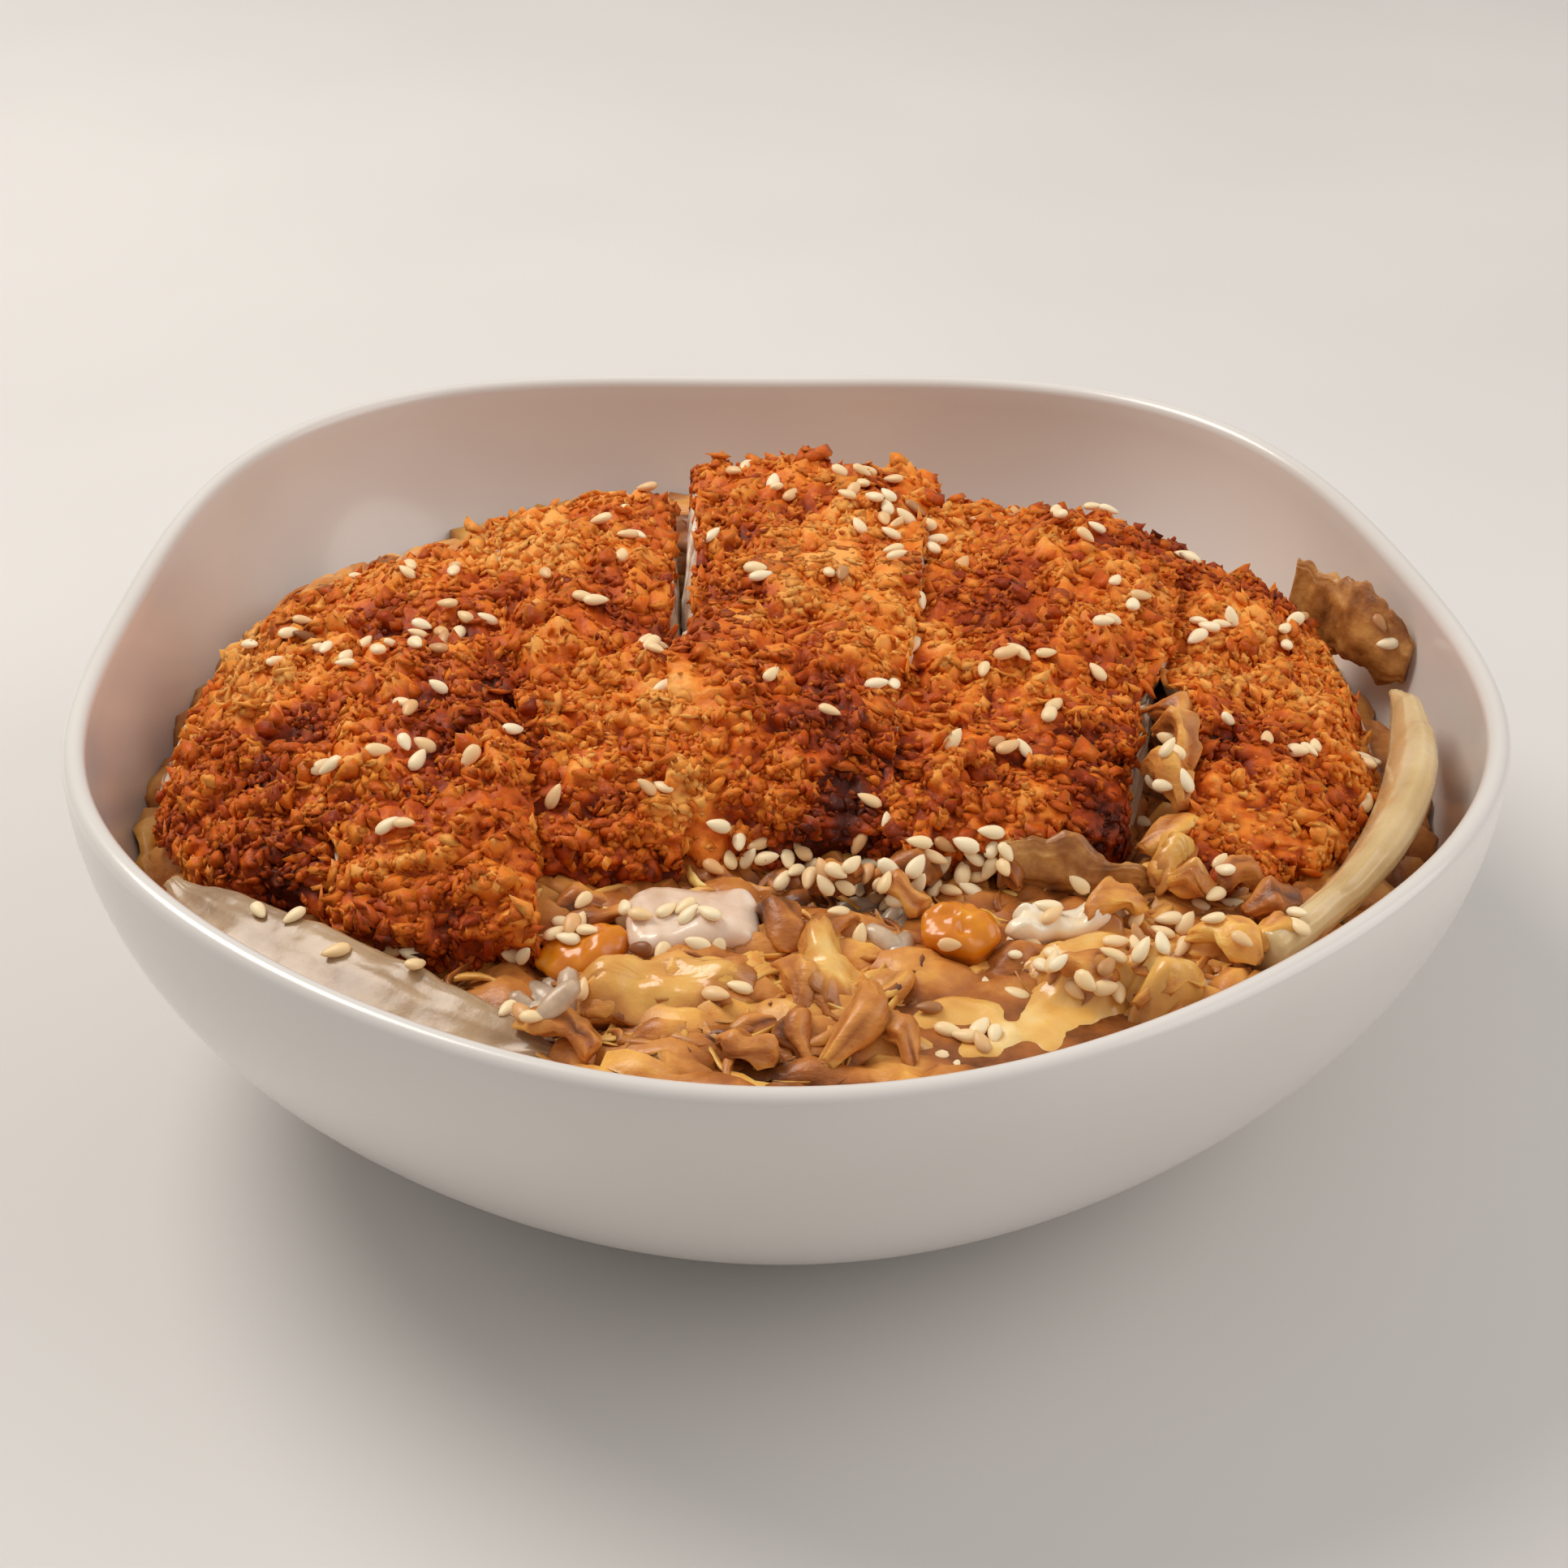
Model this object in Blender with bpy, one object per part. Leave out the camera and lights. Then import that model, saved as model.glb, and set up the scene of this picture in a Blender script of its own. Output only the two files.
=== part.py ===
"""Katsudon: a breaded pork cutlet in six strips on simmered egg, onion and rice, in a white bowl.

Blender metres, +Z up, front of the bowl towards -Y, origin on the table under the bowl's middle.
Each piece of food is a closed solid that rests a hair's breadth above what carries it.
"""

import math
import random

import bmesh
import bpy
from mathutils import Matrix, Vector, noise
from mathutils.bvhtree import BVHTree

MM = 0.001
FRONT = -math.pi / 2
CLEARANCE = 0.45 * MM

# The bowl: a soft five-sided plan, lowest wall slope at the foot, upright at the rim.
RIM_HEIGHT = 52.3 * MM
RIM_RADIUS = 95.6 * MM
RIM_LOBES = ((2, 0.032, 0.010), (3, -0.012, 0.006), (4, -0.023, -0.003), (5, -0.0195, -0.005))
RIM_WAVES = ((2, -0.6 * MM), (4, -0.55 * MM))
BASE_RADIUS = 43 * MM
WALL_RISE = 1.9
WALL_FLARE = 1.8
WALL_AT_RIM = 3.0 * MM
WALL_AT_BASE = 4.6 * MM
FOOT_INSIDE = 36 * MM
FOOT_BEVEL = 2 * MM
FOOT_RECESS = 1.5 * MM
BOWL_SIDES = 52
OUTER_LEVELS = (0, 0.006, 0.03, 0.08, 0.165, 0.28, 0.42, 0.58, 0.74, 0.88, 1)
INNER_LEVELS = (0.03, 0.165, 0.28, 0.42, 0.58, 0.74, 0.88, 1)

# The fillings, as heights above the table. Both fall away from the middle to the sides.
RICE_LEVEL = 40 * MM
EGG_LEVEL = 45.5 * MM
FALL_AT_SIDES = 5.5 * MM
FALL_WIDTH = 77.5 * MM
BACK_FALL = 13 * MM
HEAP_SPAN = (80 * MM, 50 * MM)
ONION_HOLLOW = 2.6 * MM
FILLING_SHARES = (0.28, 0.52, 0.72, 0.88)
FRONT_EDGE = 40 * MM
BACK_EDGE = 31 * MM

# Places where the egg parts and the rice shows: x, y, half width, half depth in mm.
RICE_WINDOWS = (
    (8.6, -53.4, 4.9, 4.2),
    (-26.0, -70.0, 4.4, 3.8),
    (44.6, -66.4, 5.2, 4.0),
    (-6.0, 69.0, 7.0, 4.6),
    (38.0, 62.0, 5.4, 4.4),
)

# The cutlet before it is cut: an oval slab, widest at its waist, a share of its thickness up.
CUTLET_MIDDLE = -2 * MM
CUTLET_HALF_WIDTH = 77.5 * MM
CUTLET_HALF_DEPTH = 47.5 * MM
CUTLET_THICKNESS = 16 * MM
OVAL_POWER = 2.6
BACK_POWER = 3.4
FRONT_POWER = 2.3
WAIST = 0.32
CRAG = 0.75 * MM
SWELL = 1.5 * MM

# Each strip, in mm: its left cut at the front and at the back, its right cut at the front and at the back,
# the middle of its run from front to back, its length and thickness as shares, and its right side's rise.
STRIPS = (
    (-79.3, -79.3, -54.4, -65.4, -10.0, 1.0, 0.76, 1.2),
    (-53.4, -64.4, -31.0, -42.2, -14.2, 1.05, 0.85, 0.6),
    (-29.8, -41.0, -14.0, -16.5, -2.8, 1.0, 0.85, -0.5),
    (-11.8, -12.6, 11.2, 20.2, 2.5, 1.0, 1.0, 0.4),
    (12.3, 21.3, 40.6, 52.6, -1.6, 0.95, 0.88, 0.6),
    (48.0, 54.6, 75.3, 75.3, -4.5, 1.14, 0.77, -0.8),
)
CUT_FRONT = -45 * MM
CUT_BACK = 40 * MM

SEED_LENGTH = 3.3 * MM
SEED_WIDTH = 2.0 * MM
SEED_THICKNESS = 1.3 * MM
GRAIN_LENGTH = 6.6 * MM
GRAIN_WIDTH = 2.9 * MM


def clear_scene():
    for thing in list(bpy.data.objects):
        bpy.data.objects.remove(thing, do_unlink=True)


def new_collection(name):
    made = bpy.data.collections.new(name)
    bpy.context.scene.collection.children.link(made)
    return made


def finish(name, colour, roughness):
    """A plain Principled material for one kind of food or for the glaze."""
    made = bpy.data.materials.new(name)
    made.use_nodes = True
    shader = made.node_tree.nodes["Principled BSDF"]
    shader.inputs["Base Color"].default_value = (*colour, 1)
    shader.inputs["Roughness"].default_value = roughness
    shader.inputs["Metallic"].default_value = 0
    return made


def ease(low, high, value):
    share = min(max((value - low) / (high - low), 0), 1)
    return share * share * (3 - 2 * share)


def bent_power(value, power):
    """Sign-keeping power, which squares off a circle into a superellipse."""
    return math.copysign(abs(value) ** power, value)


def bumps(point, size, channel=0):
    """Smooth noise from -1 to 1 that repeats about every two sizes."""
    return noise.noise(Vector(point) / size + Vector((0, 0, 17.3 * channel)))


def place(mesh_maker, name, collection, material, angle=50):
    """Puts a finished bmesh into a named object."""
    mesh = bpy.data.meshes.new(name)
    bmesh.ops.recalc_face_normals(mesh_maker, faces=mesh_maker.faces)
    mesh_maker.to_mesh(mesh)
    mesh_maker.free()
    mesh.materials.append(material)
    mesh.shade_smooth()
    mesh.set_sharp_from_angle(angle=math.radians(angle))
    thing = bpy.data.objects.new(name, mesh)
    collection.objects.link(thing)
    return thing


def skin(rings):
    """A closed bmesh through a list of rings. A ring of one point is a pole; other ends are capped flat.
    Each four-sided patch is split along its shorter diagonal, so that two skins over the same rings match.
    """
    made = bmesh.new()
    rows = [[made.verts.new(p) for p in ring] for ring in rings]
    for lower, upper in zip(rows, rows[1:]):
        count = max(len(lower), len(upper))
        for k in range(count):
            after = (k + 1) % count
            corners = [lower[k % len(lower)], lower[after % len(lower)]]
            corners += [upper[after % len(upper)], upper[k % len(upper)]]
            made.faces.new(list(dict.fromkeys(corners)))
    bmesh.ops.triangulate(made, faces=made.faces, quad_method="SHORT_EDGE")
    for row in (rows[0], rows[-1]):
        if len(row) > 1:
            made.faces.new(row)
    return made


def surface_of(thing):
    made = bmesh.new()
    made.from_mesh(thing.data)
    tree = BVHTree.FromBMesh(made)
    made.free()
    return tree


def height_on(surface, x, y):
    """The height of a surface under a place, or the egg's plain level beside it."""
    where = surface.ray_cast(Vector((x, y, 2 * RIM_HEIGHT)), Vector((0, 0, -1)))[0]
    return where.z if where else egg_top(x, y)


def plan_radius(angle):
    """The rim's radius before the plan is centred."""
    turn = angle + FRONT
    wave = sum(a * math.cos(n * turn) + b * math.sin(n * turn) for n, a, b in RIM_LOBES)
    return RIM_RADIUS * (1 + wave)


def rim_height(angle):
    return RIM_HEIGHT + sum(a * math.cos(n * (angle + FRONT)) for n, a in RIM_WAVES)


def plan_middle():
    """The middle of the rim's extents, so that the bowl's box is centred on the origin."""
    ring = [k * 2 * math.pi / BOWL_SIDES for k in range(BOWL_SIDES)]
    xs = [plan_radius(a) * math.cos(a) for a in ring]
    ys = [plan_radius(a) * math.sin(a) for a in ring]
    return (min(xs) + max(xs)) / 2, (min(ys) + max(ys)) / 2


PLAN_MIDDLE = plan_middle()
MIDDLE = Vector((-PLAN_MIDDLE[0], -PLAN_MIDDLE[1], 0))


def at_angle(angle, radius, height):
    return Vector(
        (
            radius * math.cos(angle) - PLAN_MIDDLE[0],
            radius * math.sin(angle) - PLAN_MIDDLE[1],
            height,
        )
    )


def outer_wall(angle, level):
    """(radius, height) on the outside of the wall, level 0 at the foot and 1 at the rim."""
    share = (1 - (1 - level) ** WALL_RISE) ** (1 / WALL_FLARE)
    return BASE_RADIUS + (plan_radius(angle) - BASE_RADIUS) * share, rim_height(angle) * level


def inner_wall(angle, level, depth=0.0):
    """(radius, height) inside the wall, and depth further in, square to the wall."""
    step = 1e-3
    low, high = max(level - step, 0), min(level + step, 1)
    (r0, z0), (r1, z1) = outer_wall(angle, low), outer_wall(angle, high)
    length = math.hypot(r1 - r0, z1 - z0)
    if level == 0:
        r0, r1, z0, z1, length = 0, 1, 0, 0, 1
    thickness = WALL_AT_RIM + (WALL_AT_BASE - WALL_AT_RIM) * (1 - level) ** 4 + depth
    radius, height = outer_wall(angle, level)
    return radius - thickness * (z1 - z0) / length, height + thickness * (r1 - r0) / length


def level_at(angle, height, depth=0.0):
    """The wall level where the inside of the wall reaches a height."""
    low, high = 0.0, 1.0
    for _ in range(30):
        middle = (low + high) / 2
        if inner_wall(angle, middle, depth)[1] < height:
            low = middle
        else:
            high = middle
    return (low + high) / 2


def wall_point(angle, height, depth=CLEARANCE):
    return at_angle(angle, inner_wall(angle, level_at(angle, height, depth), depth)[0], height)


def around(sides):
    return [k * 2 * math.pi / sides for k in range(sides)]


def lie(x):
    """How far the cutlet and what carries it have fallen at a place across the bowl."""
    return FALL_AT_SIDES * (x / FALL_WIDTH) ** 2


def back_slope(x, y):
    """How far the heap falls away behind the cutlet and round its left end, towards the wall."""
    beyond = abs((x + 2 * MM) / HEAP_SPAN[0]) ** OVAL_POWER + abs(y / HEAP_SPAN[1]) ** OVAL_POWER
    starts = -35 * MM if x < 0 else 2 * MM
    return BACK_FALL * ease(0.95, 1.5, beyond ** (1 / OVAL_POWER)) * ease(starts, starts + 28 * MM, y)


def rice_top(x, y):
    return RICE_LEVEL - lie(x) - back_slope(x, y)


def egg_top(x, y):
    """The bare top of the simmered egg, which carries the cutlet, onion and egg pieces."""
    along_wall = ease(60 * MM, 74 * MM, math.hypot(x, y))
    left_front = ease(14 * MM, 28 * MM, -x) * ease(20 * MM, 40 * MM, -y)
    return EGG_LEVEL - lie(x) - back_slope(x, y) - ONION_HOLLOW * along_wall * left_front


def wall_reach(angle, height):
    """How far out a filling of a given height goes before it meets the wall."""
    return inner_wall(angle, level_at(angle, height, CLEARANCE), CLEARANCE)[0]


def inside_bowl(spot, spare=0.0):
    """Pulls a point back inside the wall where it would cross it."""
    angle = math.atan2(spot.y + PLAN_MIDDLE[1], spot.x + PLAN_MIDDLE[0])
    radius = math.hypot(spot.x + PLAN_MIDDLE[0], spot.y + PLAN_MIDDLE[1])
    return at_angle(angle, min(radius, wall_reach(angle, spot.z) - spare), spot.z)


def edge_ring(rule):
    """The ring where a filling's height rule meets the wall, by repeated trial."""
    ring = []
    for angle in around(BOWL_SIDES):
        radius = RIM_RADIUS * 0.9
        for _ in range(8):
            spot = at_angle(angle, radius, 0)
            radius = wall_reach(angle, rule(spot.x, spot.y))
        spot = at_angle(angle, radius, 0)
        ring.append(Vector((spot.x, spot.y, rule(spot.x, spot.y))))
    return ring


def inner_rings(edge, rule, raised=0.0):
    """Rings from the edge of a filling to its middle, at the heights of a rule."""
    rings = []
    for share in reversed(FILLING_SHARES):
        flat = [MIDDLE.lerp(p, share) for p in edge]
        rings.append([Vector((p.x, p.y, rule(p.x, p.y) + raised)) for p in flat])
    rings.append([Vector((MIDDLE.x, MIDDLE.y, rule(MIDDLE.x, MIDDLE.y) + raised))])
    return rings


def make_bowl(collection, glaze):
    angles = around(BOWL_SIDES)
    foot = ((FOOT_INSIDE - FOOT_BEVEL, FOOT_RECESS), (FOOT_INSIDE, 0))
    rings = [[Vector((MIDDLE.x, MIDDLE.y, FOOT_RECESS))]]
    rings += [[at_angle(a, r, z) for a in angles] for r, z in foot]
    rings += [[at_angle(a, *outer_wall(a, v)) for a in angles] for v in OUTER_LEVELS]
    for turn in (45, 90, 135):
        lip = math.radians(turn)
        half = WALL_AT_RIM / 2
        ring = []
        for a in angles:
            radius = plan_radius(a) - half + half * math.cos(lip)
            ring.append(at_angle(a, radius, rim_height(a) + half * math.sin(lip)))
        rings.append(ring)
    rings += [[at_angle(a, *inner_wall(a, v)) for a in angles] for v in reversed(INNER_LEVELS)]
    rings.append([Vector((MIDDLE.x, MIDDLE.y, WALL_AT_BASE))])
    return place(skin(rings), "bowl", collection, glaze, 40)


def make_rice(collection, material):
    """Rice fills the bottom of the bowl, following its wall."""
    edge = edge_ring(rice_top)
    floor = WALL_AT_BASE + CLEARANCE
    rings = [[Vector((MIDDLE.x, MIDDLE.y, floor))]]
    for level in INNER_LEVELS:
        ring = [at_angle(a, *inner_wall(a, level, CLEARANCE)) for a in around(BOWL_SIDES)]
        if max(p.z for p in ring) < min(p.z for p in edge) - 2 * MM:
            rings.append(ring)
    rings += [edge, *inner_rings(edge, rice_top)]
    return place(skin(rings), "rice", collection, material)


def make_egg(collection, material):
    """The simmered egg and onion, a layer on the rice that reaches the wall."""
    lower, upper = edge_ring(rice_top), edge_ring(egg_top)
    rings = inner_rings(lower, rice_top, CLEARANCE)[::-1]
    rings.append([inside_bowl(p + Vector((0, 0, CLEARANCE))) for p in lower])
    rings += [upper, *inner_rings(upper, egg_top)]
    return place(skin(rings), "simmered_egg", collection, material)


def cut_windows(egg, cutters):
    """Opens the egg where the rice shows."""
    for x, y, wide, deep in RICE_WINDOWS:
        made = bmesh.new()
        size = Matrix.Diagonal((wide * MM, deep * MM, 1, 1))
        where = Matrix.Translation((x * MM, y * MM, EGG_LEVEL))
        bmesh.ops.create_cone(
            made, cap_ends=True, segments=12, radius1=1, radius2=1, depth=60 * MM, matrix=where @ size
        )
        mesh = bpy.data.meshes.new("rice_window")
        made.to_mesh(mesh)
        made.free()
        cutters.objects.link(bpy.data.objects.new("rice_window", mesh))
    apply_join(egg, cutters, "DIFFERENCE")


def half_depth(x):
    """Half of the cutlet's depth from front to back at a place across it."""
    share = min(abs((x - CUTLET_MIDDLE) / CUTLET_HALF_WIDTH), 0.985)
    return CUTLET_HALF_DEPTH * (1 - share**OVAL_POWER) ** (1 / OVAL_POWER)


def thickness(x):
    """The cutlet thins towards its two tips."""
    share = min(abs((x - CUTLET_MIDDLE) / CUTLET_HALF_WIDTH), 0.985)
    return CUTLET_THICKNESS * (1 - share**7) ** 0.5


def cut_x(number, side, y):
    """Where a strip's left (0) or right (1) cut runs at a place from front to back."""
    front, back = [v * MM for v in STRIPS[number][2 * side : 2 * side + 2]]
    return front + (back - front) * (y - CUT_FRONT) / (CUT_BACK - CUT_FRONT)


def strip_share(number, share):
    """Brings the sections of the two end strips closer together at their rounded tips."""
    if number == 0:
        return share**1.6
    if number == len(STRIPS) - 1:
        return 1 - (1 - share) ** 1.6
    return share


def make_strip(number, bed, collection, material, stations=7, points=30):
    """One strip of the cutlet: sections in the front-back plane, strung from its left cut to its right."""
    middle, length, thick, tilt = STRIPS[number][4:]
    rings = []
    for station in range(stations):
        share = strip_share(number, station / (stations - 1))
        ring = []
        for k in range(points):
            turn = 2 * math.pi * k / points
            power = 2 / (BACK_POWER if math.cos(turn) > 0 else FRONT_POWER)
            along, upward = bent_power(math.cos(turn), power), bent_power(math.sin(turn), power)
            y = middle * MM + CUTLET_HALF_DEPTH * length * along
            x = (1 - share) * cut_x(number, 0, y) + share * cut_x(number, 1, y)
            y = middle * MM + half_depth(x) * length * along
            rise = WAIST + upward * (1 - WAIST if upward > 0 else WAIST)
            spot = Vector((x, y, thickness(x) * thick * rise))
            crag = CRAG * (bumps(spot, 4 * MM, number) + 0.6 * bumps(spot, 11 * MM, number))
            crag += SWELL * bumps(spot, 17 * MM, 3)
            edge_drop = 1.2 * MM * (2 * share - 1) ** 6
            spot.y += along * crag * 1.3
            spot.z += max(upward, 0) * (1.4 * crag + (share - 0.5) * tilt * MM - edge_drop)
            spot.z += EGG_LEVEL - lie(x) + CLEARANCE
            spot.z = max(spot.z, height_on(bed, spot.x, spot.y) + CLEARANCE)
            ring.append(spot)
        rings.append(ring)
    return place(skin(rings), f"cutlet_strip_{number + 1}", collection, material, 35)


def make_ribbon(name, path, half_width, half_height, tilt, bed, collection, material, points=10):
    """A strip of onion or egg along a path: half_width and half_height are rules of the share along it."""
    rings = []
    count = len(path)
    for k, spot in enumerate(path):
        share = k / (count - 1)
        before, after = path[max(k - 1, 0)], path[min(k + 1, count - 1)]
        run = Vector((after.x - before.x, after.y - before.y, 0)).normalized()
        across = Vector((run.y, -run.x, math.tan(tilt))).normalized()
        rise = run.cross(across)
        rise = rise if rise.z > 0 else -rise
        ring = []
        for j in range(points):
            turn = 2 * math.pi * j / points
            out = bent_power(math.cos(turn), 0.8) * half_width(share)
            up = bent_power(math.sin(turn), 0.8) * half_height(share)
            corner = spot + across * out + rise * up
            corner.z = max(corner.z, height_on(bed, corner.x, corner.y) + CLEARANCE)
            ring.append(inside_bowl(corner))
        rings.append(ring)
    return place(skin(rings), name, collection, material)


def taper(low, high, start=0.0, end=0.0):
    """A rule that rises from start to high in the middle of a strip and falls to end."""
    return lambda share: max(high * math.sin(math.pi * share) ** 0.55, low, start * (1 - share), end * share)


def left_onion_path():
    path = []
    for k in range(12):
        share = k / 11
        angle = math.radians(213 + 41 * share)
        radius = (85.8 - 0.8 * math.sin(math.pi * share) + 1.4 * share) * MM
        path.append(at_angle(angle, radius, (44.2 + 0.8 * share) * MM))
    return path


def right_onion_path():
    path = []
    for k in range(12):
        share = k / 11
        angle = math.radians(-2 - 48 * share)
        path.append(at_angle(angle, (81.8 + 3.2 * share) * MM, (46.5 + 0.5 * math.sin(3.1 * share)) * MM))
    return path


def flake_path():
    """From behind the sixth strip's right end out to the wall."""
    path = []
    for k in range(8):
        share = k / 7
        wave = 0.8 * math.sin(7 * share)
        path.append(Vector((71.0 + 13.5 * share + wave, 29.0 - 17.5 * share + wave, 46.5 - 0.8 * share)) * MM)
    return path


def front_flake_path():
    """Along the front of the fifth strip, just clear of it."""
    path = []
    for k in range(8):
        share = k / 7
        path.append(Vector((24.5 + 20 * share, -48.4 + 0.5 * math.sin(8 * share), 49.2 - 0.9 * share)) * MM)
    return path


def make_onions(bed, collection, material):
    """A long clear petal that leans on the wall at the left front, and a slice on edge at the right."""
    wide, thin = taper(1.2 * MM, 5.4 * MM), taper(0.8 * MM, 1.7 * MM)
    make_ribbon("onion_left", left_onion_path(), wide, thin, -0.42, bed, collection, material)
    wide = taper(1.0 * MM, 2.7 * MM, end=2.4 * MM)
    tall = taper(1.4 * MM, 4.6 * MM, end=3.6 * MM)
    make_ribbon("onion_right", right_onion_path(), wide, tall, 0.5, bed, collection, material)


def make_flakes(bed, collection, material):
    """Brown simmered flakes that stand on edge, one at the back right and one before the fifth strip."""
    thin = taper(0.7 * MM, 1.2 * MM)
    tall = taper(3.0 * MM, 5.6 * MM, start=4.2 * MM)
    make_ribbon("brown_flake_back", flake_path(), thin, tall, 0.25, bed, collection, material, 8)
    tall = taper(1.4 * MM, 3.6 * MM, start=2.4 * MM)
    make_ribbon("brown_flake_front", front_flake_path(), thin, tall, 0.2, bed, collection, material, 8)


def make_lump(name, middle, size, turn, height, bed, collection, material, sides=14, wobble=0.16):
    """A soft lump that lies on the simmered egg: its underside follows what carries it."""
    across = Matrix.Rotation(math.radians(turn), 2)
    shares = ((0.5, 0.0), (0.92, 0.0), (1.0, 0.34), (0.86, 0.76), (0.5, 0.97))
    rings = []
    for share, rise in shares:
        ring = []
        for k in range(sides):
            angle = 2 * math.pi * k / sides
            edge = Vector((math.cos(angle), math.sin(angle)))
            reach = share * (1 + wobble * bumps((edge.x, edge.y, middle[0]), 0.7))
            flat = across @ Vector((edge.x * size[0] * MM, edge.y * size[1] * MM)) * reach
            x, y = middle[0] * MM + flat.x, middle[1] * MM + flat.y
            crown = 1 + 0.25 * bumps((x, y, 0), 5 * MM)
            base = height_on(bed, x, y) + CLEARANCE
            ring.append(Vector((x, y, base + rise * crown * height * MM)))
        rings.append(ring)
    x, y = middle[0] * MM, middle[1] * MM
    base = height_on(bed, x, y) + CLEARANCE
    rings.insert(0, [Vector((x, y, base))])
    rings.append([Vector((x, y, base + height * MM))])
    return place(skin(rings), name, collection, material)


# Egg and onion pieces on the simmered egg: name, middle, half size, turn, height, in mm and degrees.
LUMPS = (
    ("egg_yolk_left", (-23.0, -62.4), (5.0, 3.3), 6, 4.4, "yolk"),
    ("egg_yolk_right", (19.4, -61.2), (4.4, 3.9), -20, 5.0, "yolk"),
    ("egg_white", (32.0, -56.4), (7.4, 2.9), 20, 3.6, "white"),
    ("onion_chunk", (-10.6, -57.6), (7.4, 4.3), 6, 4.6, "onion"),
    ("egg_sheet", (24.6, -75.6), (11.6, 8.2), 12, 1.9, "cream"),
)


# Folds and chunks of simmered egg that stand out of the layer: x, y, heading, length, width, height.
FOLDS = (
    (-21.6, -56.6, 0, 9, 2.8, 2.8),
    (2.5, -48.9, 10, 9, 3.4, 3.2),
    (15.5, -49.2, -8, 9, 3.6, 3.4),
    (4.5, -66.5, 70, 11, 3.0, 2.6),
    (9.2, -78.0, 105, 11, 2.6, 2.4),
    (-14.6, -68.4, -20, 11, 3.2, 3.0),
    (-12.5, -74.0, -16, 17, 3.2, 2.6),
    (-4.0, -82.0, -6, 13, 3.0, 2.2),
    (44.4, -35.0, 86, 10, 3.2, 3.6),
    (47.2, -59.4, 4, 6, 2.4, 2.2),
    (51.6, -54.8, 4, 7, 2.8, 3.0),
    (-39.5, -66.0, -30, 9, 3.0, 2.4),
)


def free_spot(x, y, reach, taken):
    return all(math.hypot(x - a, y - b) > reach + r for a, b, r in taken)


def beside_cutlet(x, y, reach):
    """True where nothing within reach of a place lies under the cutlet."""
    if abs(x) > 81 * MM + reach:
        return True
    for number, strip in enumerate(STRIPS):
        if cut_x(number, 0, y) - reach < x < cut_x(number, 1, y) + reach:
            if abs(y - strip[4] * MM) < half_depth(x) * strip[5] + 1.4 * MM + reach:
                return False
    return True


def taken_places():
    """Discs that cover the rice windows and the loose pieces on the egg."""
    taken = [(x * MM, y * MM, (max(w, d) + 1.2) * MM) for x, y, w, d in RICE_WINDOWS]
    for _, (x, y), (wide, deep), turn, _, _ in LUMPS:
        for share in (-0.6, 0, 0.6):
            along = share * wide * MM
            a = x * MM + along * math.cos(math.radians(turn))
            b = y * MM + along * math.sin(math.radians(turn))
            taken.append((a, b, (deep + 0.35 * (wide - deep) + 1.0) * MM))
    for path, reach in ((left_onion_path(), 7), (right_onion_path(), 6.2), (flake_path(), 4.4)):
        taken += [(p.x, p.y, reach * MM) for p in path]
    taken += [(p.x, p.y, 3 * MM) for p in front_flake_path()]
    return taken


def fold_body(helper, bed, x, y, heading, length, width, height, draw, points=6, stations=5):
    """A rounded fold of egg, part sunk in the layer."""
    run = Vector((math.cos(heading), math.sin(heading), 0))
    across = Vector((-run.y, run.x, 0))
    bend = draw.uniform(-0.16, 0.16) * length
    rings = []
    for k in range(stations):
        share = k / (stations - 1)
        middle = Vector((x, y, 0)) + run * (share - 0.5) * length
        middle += across * bend * math.sin(math.pi * share)
        swell = (0.45 + 0.55 * math.sin(math.pi * share)) * draw.uniform(0.85, 1.15)
        ring = []
        for j in range(points):
            turn = 2 * math.pi * (j + 0.5) / points
            spot = middle + across * math.cos(turn) * width / 2 * swell
            lift = math.sin(turn) * (1 if j < points / 2 else 0.5)
            spot.z = height_on(bed, spot.x, spot.y) + lift * height * swell
            ring.append(inside_bowl(spot, 1.2 * MM))
        rings.append(ring)
    made = skin(rings)
    bmesh.ops.recalc_face_normals(made, faces=made.faces)
    mesh = bpy.data.meshes.new("fold")
    made.to_mesh(mesh)
    made.free()
    helper.objects.link(bpy.data.objects.new("fold", mesh))


def scatter_folds(helper, bed, draw, wanted):
    """The named folds, then smaller ones wherever the egg is still bare. Returns the places taken."""
    taken = taken_places()
    for x, y, heading, length, width, height in FOLDS:
        size = [v * MM for v in (length, width, height)]
        fold_body(helper, bed, x * MM, y * MM, math.radians(heading), *size, draw)
        for share in (-0.4, 0, 0.4):
            a = x + share * length * math.cos(math.radians(heading))
            b = y + share * length * math.sin(math.radians(heading))
            taken.append((a * MM, b * MM, 0.7 * width * MM))
    found = 0
    for _ in range(3000):
        if found == wanted:
            break
        angle, heading = draw.uniform(0, 2 * math.pi), draw.uniform(0, math.pi)
        length, width = draw.uniform(6, 11) * MM, draw.uniform(2.4, 3.8) * MM
        edge_height = BACK_EDGE if angle < math.pi else FRONT_EDGE
        middle = at_angle(angle, draw.uniform(0.4, 0.97) * (wall_reach(angle, edge_height) - 5 * MM), 0)
        discs = []
        for share in (-0.4, 0, 0.4):
            a = middle.x + share * length * math.cos(heading)
            b = middle.y + share * length * math.sin(heading)
            discs.append((a, b, 0.7 * width))
        if all(free_spot(*d, taken) and beside_cutlet(d[0], d[1], d[2] + MM) for d in discs):
            height = width * draw.uniform(0.55, 0.8)
            fold_body(helper, bed, middle.x, middle.y, heading, length, width, height, draw)
            taken += discs
            found += 1
    return taken


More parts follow.
